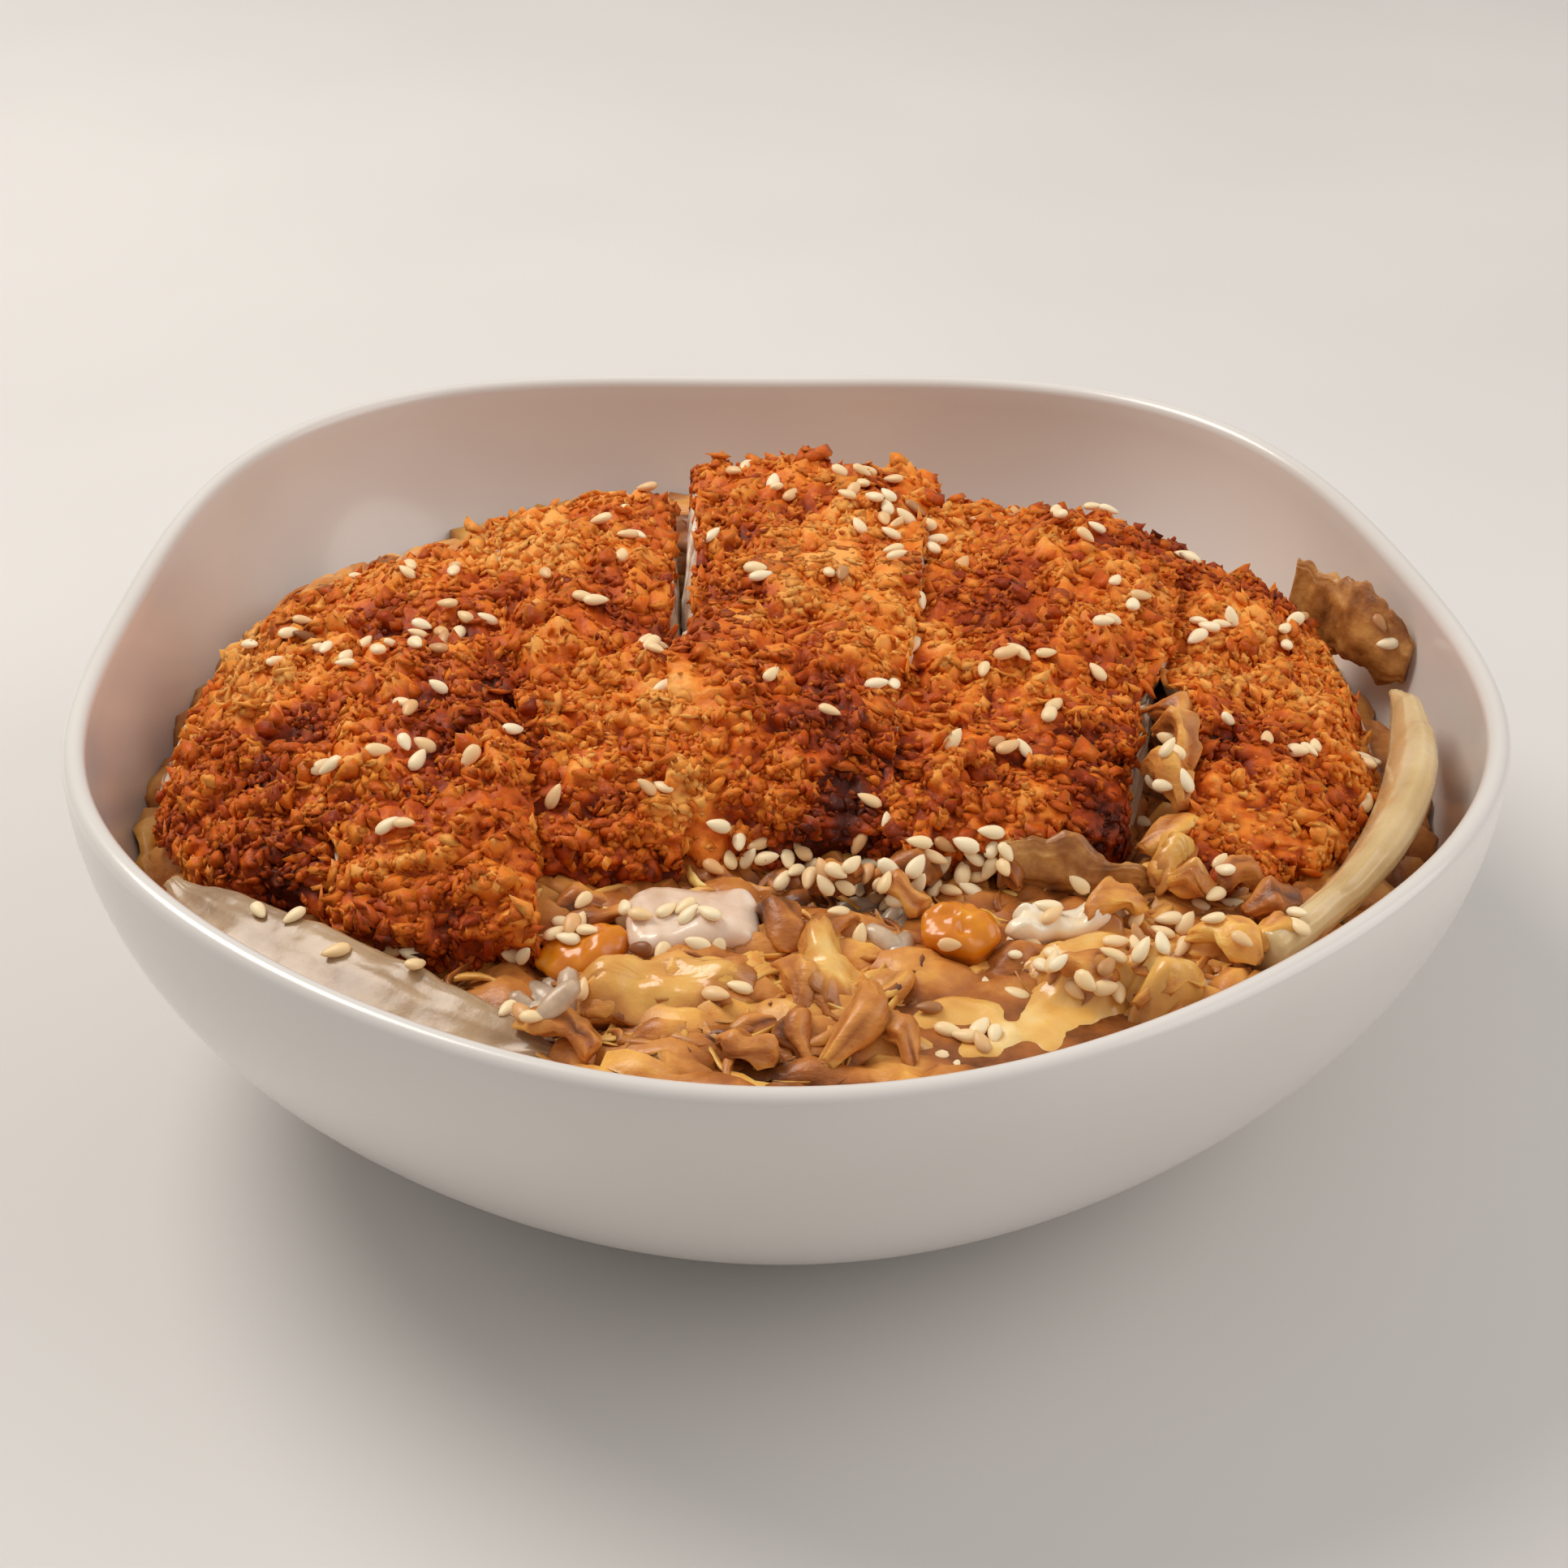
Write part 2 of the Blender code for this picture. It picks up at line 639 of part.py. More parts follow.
def egg_seed_spots(draw, taken, wanted):
    """Free places for seeds on the bare egg in front of the cutlet."""
    spots = []
    for _ in range(2000):
        if len(spots) == wanted:
            break
        x, y = draw.uniform(-60, 66) * MM, draw.uniform(-84, -46) * MM
        inside = math.hypot(x, y) < 82 * MM
        if inside and beside_cutlet(x, y, 3 * MM) and free_spot(x, y, 2.1 * MM, taken):
            taken.append((x, y, 2.1 * MM))
            spots.append((x, y))
    return spots


def oval_body(helper, name, where, heading, normal, size, sides=6):
    """A small low-sided oval solid, for a seed or a grain, lying square to a surface."""
    made = bmesh.new()
    side = Vector((math.cos(heading), math.sin(heading), 0))
    side = (side - normal * side.dot(normal)).normalized()
    basis = Matrix((side, normal.cross(side), normal)).transposed().to_4x4()
    frame = Matrix.Translation(where) @ basis @ Matrix.Diagonal((*[s / 2 for s in size], 1))
    pole_along = Matrix.Rotation(math.pi / 2, 4, "Y")
    bmesh.ops.create_uvsphere(
        made, u_segments=sides, v_segments=3, radius=1, matrix=frame @ pole_along
    )
    mesh = bpy.data.meshes.new(name)
    made.to_mesh(mesh)
    made.free()
    thing = bpy.data.objects.new(name, mesh)
    helper.objects.link(thing)
    return thing


def keep_largest(thing):
    """Drops loose scraps that a union can leave."""
    made = bmesh.new()
    made.from_mesh(thing.data)
    left, bodies = set(made.verts), []
    while left:
        front, body = [left.pop()], []
        while front:
            vert = front.pop()
            body.append(vert)
            for edge in vert.link_edges:
                other = edge.other_vert(vert)
                if other in left:
                    left.remove(other)
                    front.append(other)
        bodies.append(body)
    bodies.sort(key=len)
    bmesh.ops.delete(made, geom=[v for body in bodies[:-1] for v in body], context="VERTS")
    made.to_mesh(thing.data)
    made.free()


def apply_join(thing, helper, operation):
    """Joins or cuts a piece with every object of the helper collection, then removes them."""
    join = thing.modifiers.new("join", "BOOLEAN")
    join.operation = operation
    join.operand_type = "COLLECTION"
    join.collection = helper
    join.solver = "EXACT"
    graph = bpy.context.evaluated_depsgraph_get()
    joined = bpy.data.meshes.new_from_object(thing.evaluated_get(graph))
    thing.modifiers.clear()
    thing.data = joined
    for piece in list(helper.objects):
        bpy.data.objects.remove(piece, do_unlink=True)
    keep_largest(thing)


def scatter_seeds(thing, helper, spots, draw, sink=0.25):
    """Sets sesame seeds on a piece at the given places, square to its surface."""
    tree = surface_of(thing)
    for k, (x, y) in enumerate(spots):
        where, normal, _, _ = tree.ray_cast(Vector((x, y, 0.1)), Vector((0, 0, -1)))
        if where is None or normal.z < 0.45:
            continue
        heading = draw.uniform(0, 2 * math.pi)
        centre = where + normal * SEED_THICKNESS * (0.5 - sink)
        size = (SEED_LENGTH, SEED_WIDTH, SEED_THICKNESS)
        oval_body(helper, f"seed_{k}", centre, heading, normal, size)


def strip_seed_spots(number, draw, wanted):
    """Evenly spread places on a strip's top, clear of its cuts."""
    middle, length = STRIPS[number][4] * MM, STRIPS[number][5]
    edge = 3.4 * MM
    taken = []
    for _ in range(400):
        if len(taken) == wanted:
            break
        y = middle + draw.uniform(-1, 1) * CUTLET_HALF_DEPTH * length
        x = draw.uniform(cut_x(number, 0, y) + edge, cut_x(number, 1, y) - edge)
        inside = abs(y - middle) < half_depth(x) * length - 7 * MM
        if inside and free_spot(x, y, 2.6 * MM, taken):
            taken.append((x, y, 2.6 * MM))
    return [(x, y) for x, y, _ in taken]


def rice_grains(helper, draw):
    """Grains of rice that stand out of the heap where the egg leaves it bare."""
    for number, (x, y, wide, deep) in enumerate(RICE_WINDOWS):
        for side in (-1, 0, 1):
            where = Vector((x * MM + side * 0.4 * (wide - 1.6) * MM, y * MM, 0))
            where.z = rice_top(where.x, where.y) + (0.6 if side else 1.6) * MM
            heading = math.radians(70 + 40 * side + draw.uniform(-15, 15))
            length = min(GRAIN_LENGTH, 1.7 * (deep - 0.6) * MM)
            size = (length, min(GRAIN_WIDTH, wide * 0.55 * MM), GRAIN_WIDTH * 0.8)
            oval_body(helper, f"grain_{number}_{side}", where, heading, Vector((0, 0, 1)), size, 8)


def main():
    clear_scene()
    katsudon = new_collection("katsudon")
    loose = new_collection("loose_pieces")
    glaze = finish("white_glaze", (0.80, 0.78, 0.75), 0.25)
    crust = finish("panko_crust", (0.56, 0.23, 0.06), 0.6)
    simmered = finish("simmered_egg", (0.50, 0.30, 0.13), 0.35)
    kinds = {
        "yolk": finish("egg_yolk", (0.70, 0.36, 0.04), 0.3),
        "white": finish("egg_white", (0.80, 0.70, 0.54), 0.3),
        "cream": finish("soft_egg", (0.72, 0.52, 0.22), 0.3),
        "onion": finish("cooked_onion", (0.62, 0.50, 0.36), 0.25),
    }
    steamed = finish("steamed_rice", (0.66, 0.58, 0.54), 0.35)
    browned = finish("brown_flake", (0.30, 0.15, 0.05), 0.4)

    make_bowl(katsudon, glaze)
    rice = make_rice(katsudon, steamed)
    draw = random.Random(7)
    rice_grains(loose, draw)
    apply_join(rice, loose, "UNION")
    egg = make_egg(katsudon, simmered)
    bed = surface_of(egg)
    taken = scatter_folds(loose, bed, draw, 16)
    scatter_seeds(egg, loose, egg_seed_spots(draw, taken, 14), draw)
    apply_join(egg, loose, "UNION")
    cut_windows(egg, loose)
    for number in range(len(STRIPS)):
        strip = make_strip(number, bed, katsudon, crust)
        scatter_seeds(strip, loose, strip_seed_spots(number, draw, 8), draw)
        apply_join(strip, loose, "UNION")
    make_onions(bed, katsudon, kinds["onion"])
    make_flakes(bed, katsudon, browned)
    for name, middle, size, turn, height, kind in LUMPS:
        make_lump(name, middle, size, turn, height, bed, katsudon, kinds[kind])
    bpy.data.collections.remove(loose)


main()
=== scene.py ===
# %% [markdown]
# # Katsudon in its bowl
#
# This is a bowl of rice under simmered egg and onion, with a fried pork cutlet cut into six strips
# on top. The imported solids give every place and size. This lesson dresses them: each food gets the
# small shapes and the finish that make it look edible, and each new piece rides on the same body.

# %% Load the solids
import math
import bpy
import numpy as np
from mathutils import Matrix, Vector, noise
from mathutils.bvhtree import BVHTree


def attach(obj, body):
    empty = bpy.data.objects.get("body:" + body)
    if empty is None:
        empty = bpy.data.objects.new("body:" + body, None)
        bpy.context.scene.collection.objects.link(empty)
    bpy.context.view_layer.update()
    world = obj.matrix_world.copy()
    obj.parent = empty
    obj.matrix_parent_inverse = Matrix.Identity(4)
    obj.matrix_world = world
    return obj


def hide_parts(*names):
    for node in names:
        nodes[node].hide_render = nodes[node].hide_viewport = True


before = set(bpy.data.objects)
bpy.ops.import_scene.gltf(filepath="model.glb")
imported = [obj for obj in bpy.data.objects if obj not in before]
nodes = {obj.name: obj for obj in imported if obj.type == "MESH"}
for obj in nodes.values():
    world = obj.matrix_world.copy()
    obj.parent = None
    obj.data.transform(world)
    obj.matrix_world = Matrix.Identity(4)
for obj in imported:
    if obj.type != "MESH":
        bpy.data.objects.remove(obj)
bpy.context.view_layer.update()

MM = 0.001
print("solids:", ", ".join(sorted(nodes)))

# %% [markdown]
# ## The camera comes first
#
# The photograph looks down on the bowl by about thirty degrees from a little under 0.4 m away. With the
# camera in place, a spot in the picture becomes a ray, and a seed can be put where that ray meets
# the food. That is why the camera is made before anything that it will see.

# %% Camera
PICTURE = 1932
FOCAL_PIXELS = 3350
CAMERA_PLACE = Vector((-0.35, -315.2, 217.8)) * MM
LOOK_DOWN = math.radians(30.46)

lens = bpy.data.cameras.new("camera")
lens.sensor_width = 36
lens.lens = FOCAL_PIXELS / PICTURE * lens.sensor_width
camera = bpy.data.objects.new("camera", lens)
camera.location = CAMERA_PLACE
camera.rotation_euler = (math.pi / 2 - LOOK_DOWN, 0, 0)
bpy.context.scene.collection.objects.link(camera)
bpy.context.scene.camera = camera


def picture_ray(px, py):
    """The direction from the camera through a place in the photograph."""
    ahead = Vector((0, math.cos(LOOK_DOWN), -math.sin(LOOK_DOWN)))
    above = Vector((0, math.sin(LOOK_DOWN), math.cos(LOOK_DOWN)))
    side = (px - PICTURE / 2) / FOCAL_PIXELS
    rise = (PICTURE / 2 - py) / FOCAL_PIXELS
    return (ahead + Vector((1, 0, 0)) * side + above * rise).normalized()


print("camera lens", round(lens.lens, 1), "mm")

# %% [markdown]
# ## Three tools for natural shapes
#
# Food has no straight lines, so nearly every piece is a smooth form plus noise. A lattice of random
# numbers, blended smoothly, gives a soft noise of any size, and several sizes added together look
# like crust or cooked egg. The second tool strings rings of points into a skin. The third repeats a
# small body many times and joins it into one mesh, since loose instances would be lost in an export.

# %% Soft noise
LATTICE_SIDE = 48
LATTICE = np.random.RandomState(11).uniform(-1, 1, (LATTICE_SIDE,) * 3)


def soft_noise(points, size, shift=0.0):
    """Smooth noise from -1 to 1 over an array of points, with features about one size wide."""
    spots = np.asarray(points) / size + shift * 7.31 + 500
    low = np.floor(spots).astype(int)
    part = spots - low
    part = part * part * (3 - 2 * part)
    total = 0
    for corner in range(8):
        step = np.array([corner & 1, corner >> 1 & 1, corner >> 2 & 1])
        index = (low + step) % LATTICE_SIDE
        weight = np.prod(np.where(step, part, 1 - part), axis=-1)
        total = total + weight * LATTICE[index[..., 0], index[..., 1], index[..., 2]]
    return total


def rough_noise(points, size, steps=3, shift=0.0):
    """Noise of several sizes, each half as large and half as strong as the one before."""
    return sum(soft_noise(points, size / 2**k, shift + k) / 2**k for k in range(steps))


def full_turn(count):
    """Angles all round a circle, without the last, which would repeat the first."""
    return np.linspace(0, 2 * math.pi, count, endpoint=False)


def flat_points(x, y):
    """Points on the ground plane, for noise that doesn't depend on height."""
    return np.stack([x, y, 0 * x], axis=-1)


def squared_off(value, power):
    """Bends a circle's sine or cosine towards a squarer curve, keeping its sign."""
    return np.sign(value) * np.abs(value) ** power


print("noise at one spot:", round(float(soft_noise(np.array([[0.01, 0.02, 0.03]]), 0.004)[0]), 3))

# %% Meshes from rings and from many small bodies


def make_piece(name, verts, faces, finishes, marks=None, slots=None):
    """A named mesh object. marks are values painted on its points, slots a finish for each face."""
    mesh = bpy.data.meshes.new(name)
    mesh.from_pydata(np.asarray(verts).tolist(), [], [list(map(int, f)) for f in faces])
    mesh.shade_smooth()
    for finish in finishes:
        mesh.materials.append(finish)
    for label, values in (marks or {}).items():
        layer = mesh.attributes.new(label, "FLOAT", "POINT")
        layer.data.foreach_set("value", np.asarray(values, dtype=np.float32).ravel())
    if slots is not None:
        mesh.polygons.foreach_set("material_index", np.asarray(slots, dtype=np.int32))
    piece = bpy.data.objects.new(name, mesh)
    bpy.context.scene.collection.objects.link(piece)
    return piece


def skin_faces(rows, count, start=0, close_ends=True):
    """Quads between rows of points, each row a closed ring, with a cap on the first and last."""
    faces = []
    for row in range(rows - 1):
        for k in range(count):
            a, b = start + row * count + k, start + row * count + (k + 1) % count
            faces.append((a, b, b + count, a + count))
    if close_ends:
        faces.append(tuple(start + k for k in reversed(range(count))))
        faces.append(tuple(start + (rows - 1) * count + k for k in range(count)))
    return faces


def repeat_body(verts, faces, places, axes, sizes, jitter=0.0, draw=None):
    """Joins copies of a small body. axes holds a turning matrix for each copy, sizes three scales."""
    verts = np.asarray(verts)
    copies = np.repeat(verts[None], len(places), axis=0)
    if jitter:
        copies = copies * (1 + draw.uniform(-jitter, jitter, copies.shape))
    copies = np.einsum("nij,nkj->nki", axes, copies * np.asarray(sizes)[:, None, :])
    copies += np.asarray(places)[:, None, :]
    step = np.arange(len(places)) * len(verts)
    joined = []
    for face in faces:
        joined.append(step[:, None] + np.array(face)[None])
    return copies.reshape(-1, 3), [row for block in joined for row in block.tolist()]


def axes_from(normals, headings, leans):
    """Turning matrices whose third axis leans off each normal, with the first axis at a heading."""
    normals = normals / np.linalg.norm(normals, axis=1, keepdims=True)
    helper = np.where(np.abs(normals[:, 2:3]) > 0.9, [[1.0, 0, 0]], [[0, 0, 1.0]])
    first = np.cross(helper, normals)
    first /= np.linalg.norm(first, axis=1, keepdims=True)
    second = np.cross(normals, first)
    turned = first * np.cos(headings)[:, None] + second * np.sin(headings)[:, None]
    across = np.cross(normals, turned)
    third = normals * np.cos(leans)[:, None] + turned * np.sin(leans)[:, None]
    ahead = np.cross(across, third)
    return np.stack([ahead, across, third], axis=2)


def scatter_places(verts, faces, count, draw, keep=None):
    """Even random places on a skin of quads or triangles: points and normals."""
    tris = np.array([f[:3] for f in faces] + [(f[0], f[2], f[3]) for f in faces if len(f) == 4])
    a, b, c = (verts[tris[:, k]] for k in range(3))
    normal = np.cross(b - a, c - a)
    area = np.linalg.norm(normal, axis=1)
    if keep is not None:
        area = area * keep((a + b + c) / 3, normal / np.maximum(area, 1e-12)[:, None])
    picked = draw.choice(len(tris), count, p=area / area.sum())
    u, v = draw.uniform(0, 1, (2, count))
    flip = u + v > 1
    u[flip], v[flip] = 1 - u[flip], 1 - v[flip]
    spots = a[picked] + (b - a)[picked] * u[:, None] + (c - a)[picked] * v[:, None]
    unit = normal[picked] / np.linalg.norm(normal[picked], axis=1, keepdims=True)
    return spots, unit


# %% [markdown]
# ## Finishes
#
# Each food has its own finish, built from noise in the piece's own space, so that it stays put when
# the camera moves. Food lets light in: a little subsurface scattering keeps egg, onion and rice from
# looking like plaster. Wet surfaces are smooth with a thin clear coat, while fried crumb is rough.

# %% A helper for finishes


class Finish:
    """A Principled material with a few short ways to wire it."""

    def __init__(self, name, roughness, depth=0.0, glow=(1.0, 0.5, 0.25), coat=0.0, shine=0.5):
        self.material = bpy.data.materials.new(name)
        self.material.use_nodes = True
        self.tree = self.material.node_tree
        self.shader = self.tree.nodes["Principled BSDF"]
        self.shader.inputs["Roughness"].default_value = roughness
        self.shader.inputs["Specular IOR Level"].default_value = shine
        self.shader.inputs["Subsurface Weight"].default_value = depth
        self.shader.inputs["Subsurface Radius"].default_value = glow
        self.shader.inputs["Subsurface Scale"].default_value = 2.0 * MM
        self.shader.inputs["Coat Weight"].default_value = coat
        self.shader.inputs["Coat Roughness"].default_value = 0.12
        self.place = self.tree.nodes.new("ShaderNodeTexCoord").outputs["Object"]

    def add(self, kind, **values):
        node = self.tree.nodes.new(kind)
        for key, value in values.items():
            setattr(node, key, value)
        return node

    def link(self, out, into):
        self.tree.links.new(out, into)

    def noise(self, size, detail=3.0, stretch=None):
        """A noise whose features are about one size wide."""
        node = self.add("ShaderNodeTexNoise")
        node.inputs["Scale"].default_value = 0.6 / size
        node.inputs["Detail"].default_value = detail
        node.inputs["Roughness"].default_value = 0.55
        source = self.place
        if stretch:
            squeeze = self.add("ShaderNodeMapping")
            squeeze.inputs["Scale"].default_value = stretch
            self.link(source, squeeze.inputs["Vector"])
            source = squeeze.outputs["Vector"]
        self.link(source, node.inputs["Vector"])
        return node.outputs["Fac"]

    def cells(self, size, bend):
        """A random value for each ragged cell about one size wide. bend says how ragged."""
        waves = self.add("ShaderNodeTexNoise")
        waves.inputs["Scale"].default_value = 0.9 / size
        shift = self.add("ShaderNodeVectorMath", operation="SCALE")
        shift.inputs["Scale"].default_value = bend
        place = self.add("ShaderNodeVectorMath", operation="ADD")
        node = self.add("ShaderNodeTexVoronoi")
        node.inputs["Scale"].default_value = 1 / size
        self.link(self.place, waves.inputs["Vector"])
        self.link(waves.outputs["Color"], shift.inputs[0])
        self.link(self.place, place.inputs[0])
        self.link(shift.outputs["Vector"], place.inputs[1])
        self.link(place.outputs["Vector"], node.inputs["Vector"])
        return node.outputs["Color"]

    def painted(self, label):
        """A value that was painted on the piece's points."""
        return self.add("ShaderNodeAttribute", attribute_name=label).outputs["Fac"]

    def ramp(self, value, stops):
        """Colours along a value. stops are (place, colour), with colours as a screen shows them."""
        node = self.add("ShaderNodeValToRGB")
        band = node.color_ramp
        while len(band.elements) < len(stops):
            band.elements.new(0.5)
        for element, (place, colour) in zip(band.elements, stops):
            element.position = place
            element.color = (*from_screen(*colour), 1)
        self.link(value, node.inputs["Fac"])
        return node.outputs["Color"]

    def math(self, how, first, second):
        node = self.add("ShaderNodeMath", operation=how)
        for value, socket in zip((first, second), node.inputs):
            if isinstance(value, (int, float)):
                socket.default_value = value
            else:
                self.link(value, socket)
        return node.outputs["Value"]

    def mixed(self, *parts):
        """The sum of several values, each times its own weight."""
        total = 0.0
        for value, weight in parts:
            total = self.math("ADD", self.math("MULTIPLY", value, weight), total)
        return total

    def colour(self, value):
        self.link(value, self.shader.inputs["Base Color"])

    def roughness(self, value, low, high):
        node = self.add("ShaderNodeMapRange")
        node.inputs["To Min"].default_value = low
        node.inputs["To Max"].default_value = high
        self.link(value, node.inputs["Value"])
        self.link(node.outputs["Result"], self.shader.inputs["Roughness"])

    def relief(self, height, depth, strength=1.0):
        node = self.add("ShaderNodeBump")
        node.inputs["Distance"].default_value = depth
        node.inputs["Strength"].default_value = strength
        self.link(height, node.inputs["Height"])
        self.link(node.outputs["Normal"], self.shader.inputs["Normal"])


def from_screen(red, green, blue):
    """A colour read off a screen, 0 to 255, as the linear light that shaders use."""
    share = np.array([red, green, blue]) / 255
    linear = np.where(share < 0.04045, share / 12.92, ((share + 0.055) / 1.055) ** 2.4)
    return tuple(float(v) for v in linear)


# %% [markdown]
# ### Glaze
#
# The bowl is white porcelain under a clear, slightly soft glaze. A fired glaze is never quite
# even: it pools, so its colour drifts a little, and its surface has a very long, shallow wave.

# %% Glaze
glaze = Finish("white_glaze", 0.22, coat=0.3)
glaze.colour(glaze.ramp(glaze.noise(38 * MM, 2.0), ((0.3, (220, 214, 208)), (0.7, (230, 225, 220)))))
glaze.roughness(glaze.noise(9 * MM, 3.0), 0.17, 0.30)
glaze.relief(glaze.noise(14 * MM, 1.0), 0.12 * MM, 0.35)
print("glaze ready")

# %% [markdown]
# ### Crust and pork
#
# Panko crumb fries unevenly: raised flakes go from gold to dark amber, and a few edges almost burn. A
# value painted on the points, toast, says how dark each flake fried, and a slow noise adds the darker
# patches that run over several flakes. The same value also holds painted shade: deep places in the
# crust are darker, swollen spots lighter, and the low front of the cutlet is darker.

# %% Crust and pork
crust = Finish("panko_crust", 0.5, depth=0.24, glow=(1.0, 0.45, 0.14), shine=0.2)
fine = crust.noise(0.9 * MM, 3.0)
chips = crust.cells(1.5 * MM, 1.6 * MM)
# toast holds each flake's fried colour and painted shade: darker in the crust's hollows and low at the
# front.
toast_and_shade = crust.painted("toast_and_shade")
heat_and_shade = crust.mixed((toast_and_shade, 0.86), (crust.noise(5 * MM, 4.0), 0.34), (chips, 0.14), (fine, 0.24))
crust_stops = (
    (0.14, (255, 174, 86)), (0.32, (242, 138, 44)), (0.50, (212, 97, 18)), (0.68, (162, 58, 8)),
    (0.90, (80, 25, 6)),
)
crust.colour(crust.ramp(crust.math("SUBTRACT", heat_and_shade, 0.26), crust_stops))
crust.roughness(fine, 0.34, 0.62)
crust.relief(crust.mixed((chips, 0.5), (crust.noise(0.8 * MM, 4.0), 0.9)), 0.5 * MM, 0.8)

pork = Finish("cooked_pork", 0.42, depth=0.2, glow=(1.0, 0.6, 0.45), coat=0.12, shine=0.4)
grain = pork.noise(1.4 * MM, 4.0, stretch=(1.0, 0.45, 2.2))
pork_stops = ((0.30, (184, 158, 138)), (0.50, (222, 200, 178)), (0.70, (246, 230, 208)))
pork.colour(pork.ramp(grain, pork_stops))
pork.relief(grain, 0.35 * MM, 0.8)
print("crust and pork ready")

# %% [markdown]
# ### Simmered egg, yolk, white, onion and rice
#
# Egg simmered in soy broth soaks up colour unevenly: pale where it set thick, tan to brown where the
# broth reached it. tint, painted on the points, says how much broth a fold took; on the bed it also
# holds painted shade, darker in the hollows. Yolk and white keep clean colours of their own, onion
# turns glassy and rice takes a grey mauve cast in the shade.

# %% Wet foods
egg = Finish("simmered_egg", 0.36, depth=0.22, glow=(1.0, 0.6, 0.3), coat=0.14, shine=0.32)
# tint is broth on the folds, and broth with painted shade in the hollows on the bed.
soaked_and_shade = egg.mixed((egg.painted("tint"), 0.78), (egg.noise(2.2 * MM, 4.0), 0.46))
egg_stops = (
    (0.14, (255, 216, 126)), (0.32, (244, 182, 88)), (0.48, (218, 146, 70)), (0.64, (180, 106, 44)),
    (0.86, (98, 50, 18)),
)
egg.colour(egg.ramp(egg.math("SUBTRACT", soaked_and_shade, 0.03), egg_stops))
egg.roughness(egg.noise(2.5 * MM, 3.0), 0.26, 0.55)
threads = egg.noise(0.8 * MM, 4.0, stretch=(0.6, 1.0, 1.5))
egg.relief(egg.mixed((threads, 0.6), (egg.painted("tint"), -1.3)), 0.6 * MM, 0.8)


def wet_food(name, size, *stops, depth=0.25, gloss=0.22, coat=0.45, bump=0.15, lined=True):
    """A smooth moist food with a shallow relief. Its colours follow one noise and, if lined, mostly
    the value lines that is painted on the points."""
    food = Finish(name, gloss, depth=depth, glow=(1.0, 0.7, 0.4), coat=coat, shine=0.4)
    pattern = food.noise(size, 4.0)
    if lined:
        pattern = food.mixed((food.painted("lines"), 0.7), (pattern, 0.3))
    food.colour(food.ramp(pattern, stops))
    food.roughness(food.noise(size * 0.6, 2.0), gloss * 0.7, gloss * 1.8)
    food.relief(food.noise(size * 0.4, 3.0), bump * MM, 0.7)
    return food


yolk = wet_food(
    "egg_yolk", 4 * MM, (0.22, (166, 92, 26)), (0.42, (210, 116, 8)), (0.62, (230, 142, 14)),
    (0.82, (248, 184, 56)), coat=0.35,
)
white = wet_food(
    "egg_white", 3 * MM, (0.22, (212, 152, 76)), (0.40, (242, 202, 132)), (0.58, (252, 230, 194)),
    (0.78, (255, 246, 230)),
)
cream = wet_food(
    "soft_egg", 3.4 * MM, (0.16, (204, 138, 62)), (0.40, (232, 172, 84)), (0.62, (248, 202, 118)),
    (0.82, (255, 234, 184)), bump=0.3,
)
egg_skin = wet_food(
    "egg_skin", 3.0 * MM, (0.20, (182, 112, 48)), (0.42, (212, 144, 68)), (0.62, (236, 178, 90)),
    (0.84, (250, 210, 132)), coat=0.25, bump=0.3,
)
onion = wet_food(
    "cooked_onion", 3 * MM, (0.24, (110, 80, 54)), (0.44, (154, 122, 88)), (0.62, (188, 158, 122)),
    (0.84, (222, 200, 168)), coat=0.18, bump=0.12,
)
pearl = wet_food(
    "pearly_onion", 3 * MM, (0.22, (176, 134, 100)), (0.42, (216, 182, 152)), (0.62, (238, 210, 186)),
    (0.84, (252, 236, 220)), depth=0.3, coat=0.3, bump=0.12,
)
onion_sweet = wet_food(
    "onion_sweet", 3 * MM, (0.22, (176, 136, 76)), (0.46, (212, 180, 124)), (0.66, (230, 204, 156)),
    (0.86, (246, 228, 190)), depth=0.35, bump=0.12,
)
rice_white = wet_food(
    "steamed_rice", 3 * MM, (0.28, (166, 134, 106)), (0.55, (212, 186, 158)), (0.75, (236, 218, 196)),
    coat=0.15, lined=False,
)
flake = wet_food(
    "brown_flake", 3 * MM, (0.30, (104, 56, 18)), (0.48, (168, 106, 46)), (0.66, (214, 156, 84)),
    depth=0.12, gloss=0.34, coat=0.2, bump=0.4, lined=False,
)
seed_coat = Finish("sesame", 0.42, depth=0.12, glow=(1.0, 0.7, 0.4), coat=0.08, shine=0.35)
seed_stops = ((0.0, (255, 236, 198)), (0.45, (250, 218, 166)), (0.78, (228, 172, 112)), (1.0, (140, 84, 42)))
seed_coat.colour(seed_coat.ramp(seed_coat.painted("tint"), seed_stops))
seed_coat.relief(seed_coat.noise(0.6 * MM, 2.0), 0.05 * MM, 0.5)
print("wet foods ready")

# %% [markdown]
# ## The bowl
#
# The bowl has a soft five-sided outline, like a pebble. The outline is a circle with a few slow waves
# round it, and the wall leaves the foot almost flat and stands upright at the rim. Both are formulas,
# so the fine bowl here follows exactly the same form as its solid, with many more sides.

# %% Bowl form
RIM_HEIGHT = 52.3 * MM
RIM_RADIUS = 95.6 * MM
RIM_LOBES = ((2, 0.032, 0.010), (3, -0.012, 0.006), (4, -0.023, -0.003), (5, -0.0195, -0.005))
RIM_WAVES = ((2, -0.6 * MM), (4, -0.55 * MM))
BASE_RADIUS = 43 * MM
WALL_RISE = 1.9
WALL_FLARE = 1.8
WALL_AT_RIM = 3.0 * MM
WALL_AT_BASE = 4.6 * MM
FOOT_INSIDE = 36 * MM
FOOT_BEVEL = 2 * MM
FOOT_RECESS = 1.5 * MM
HALVINGS = 22


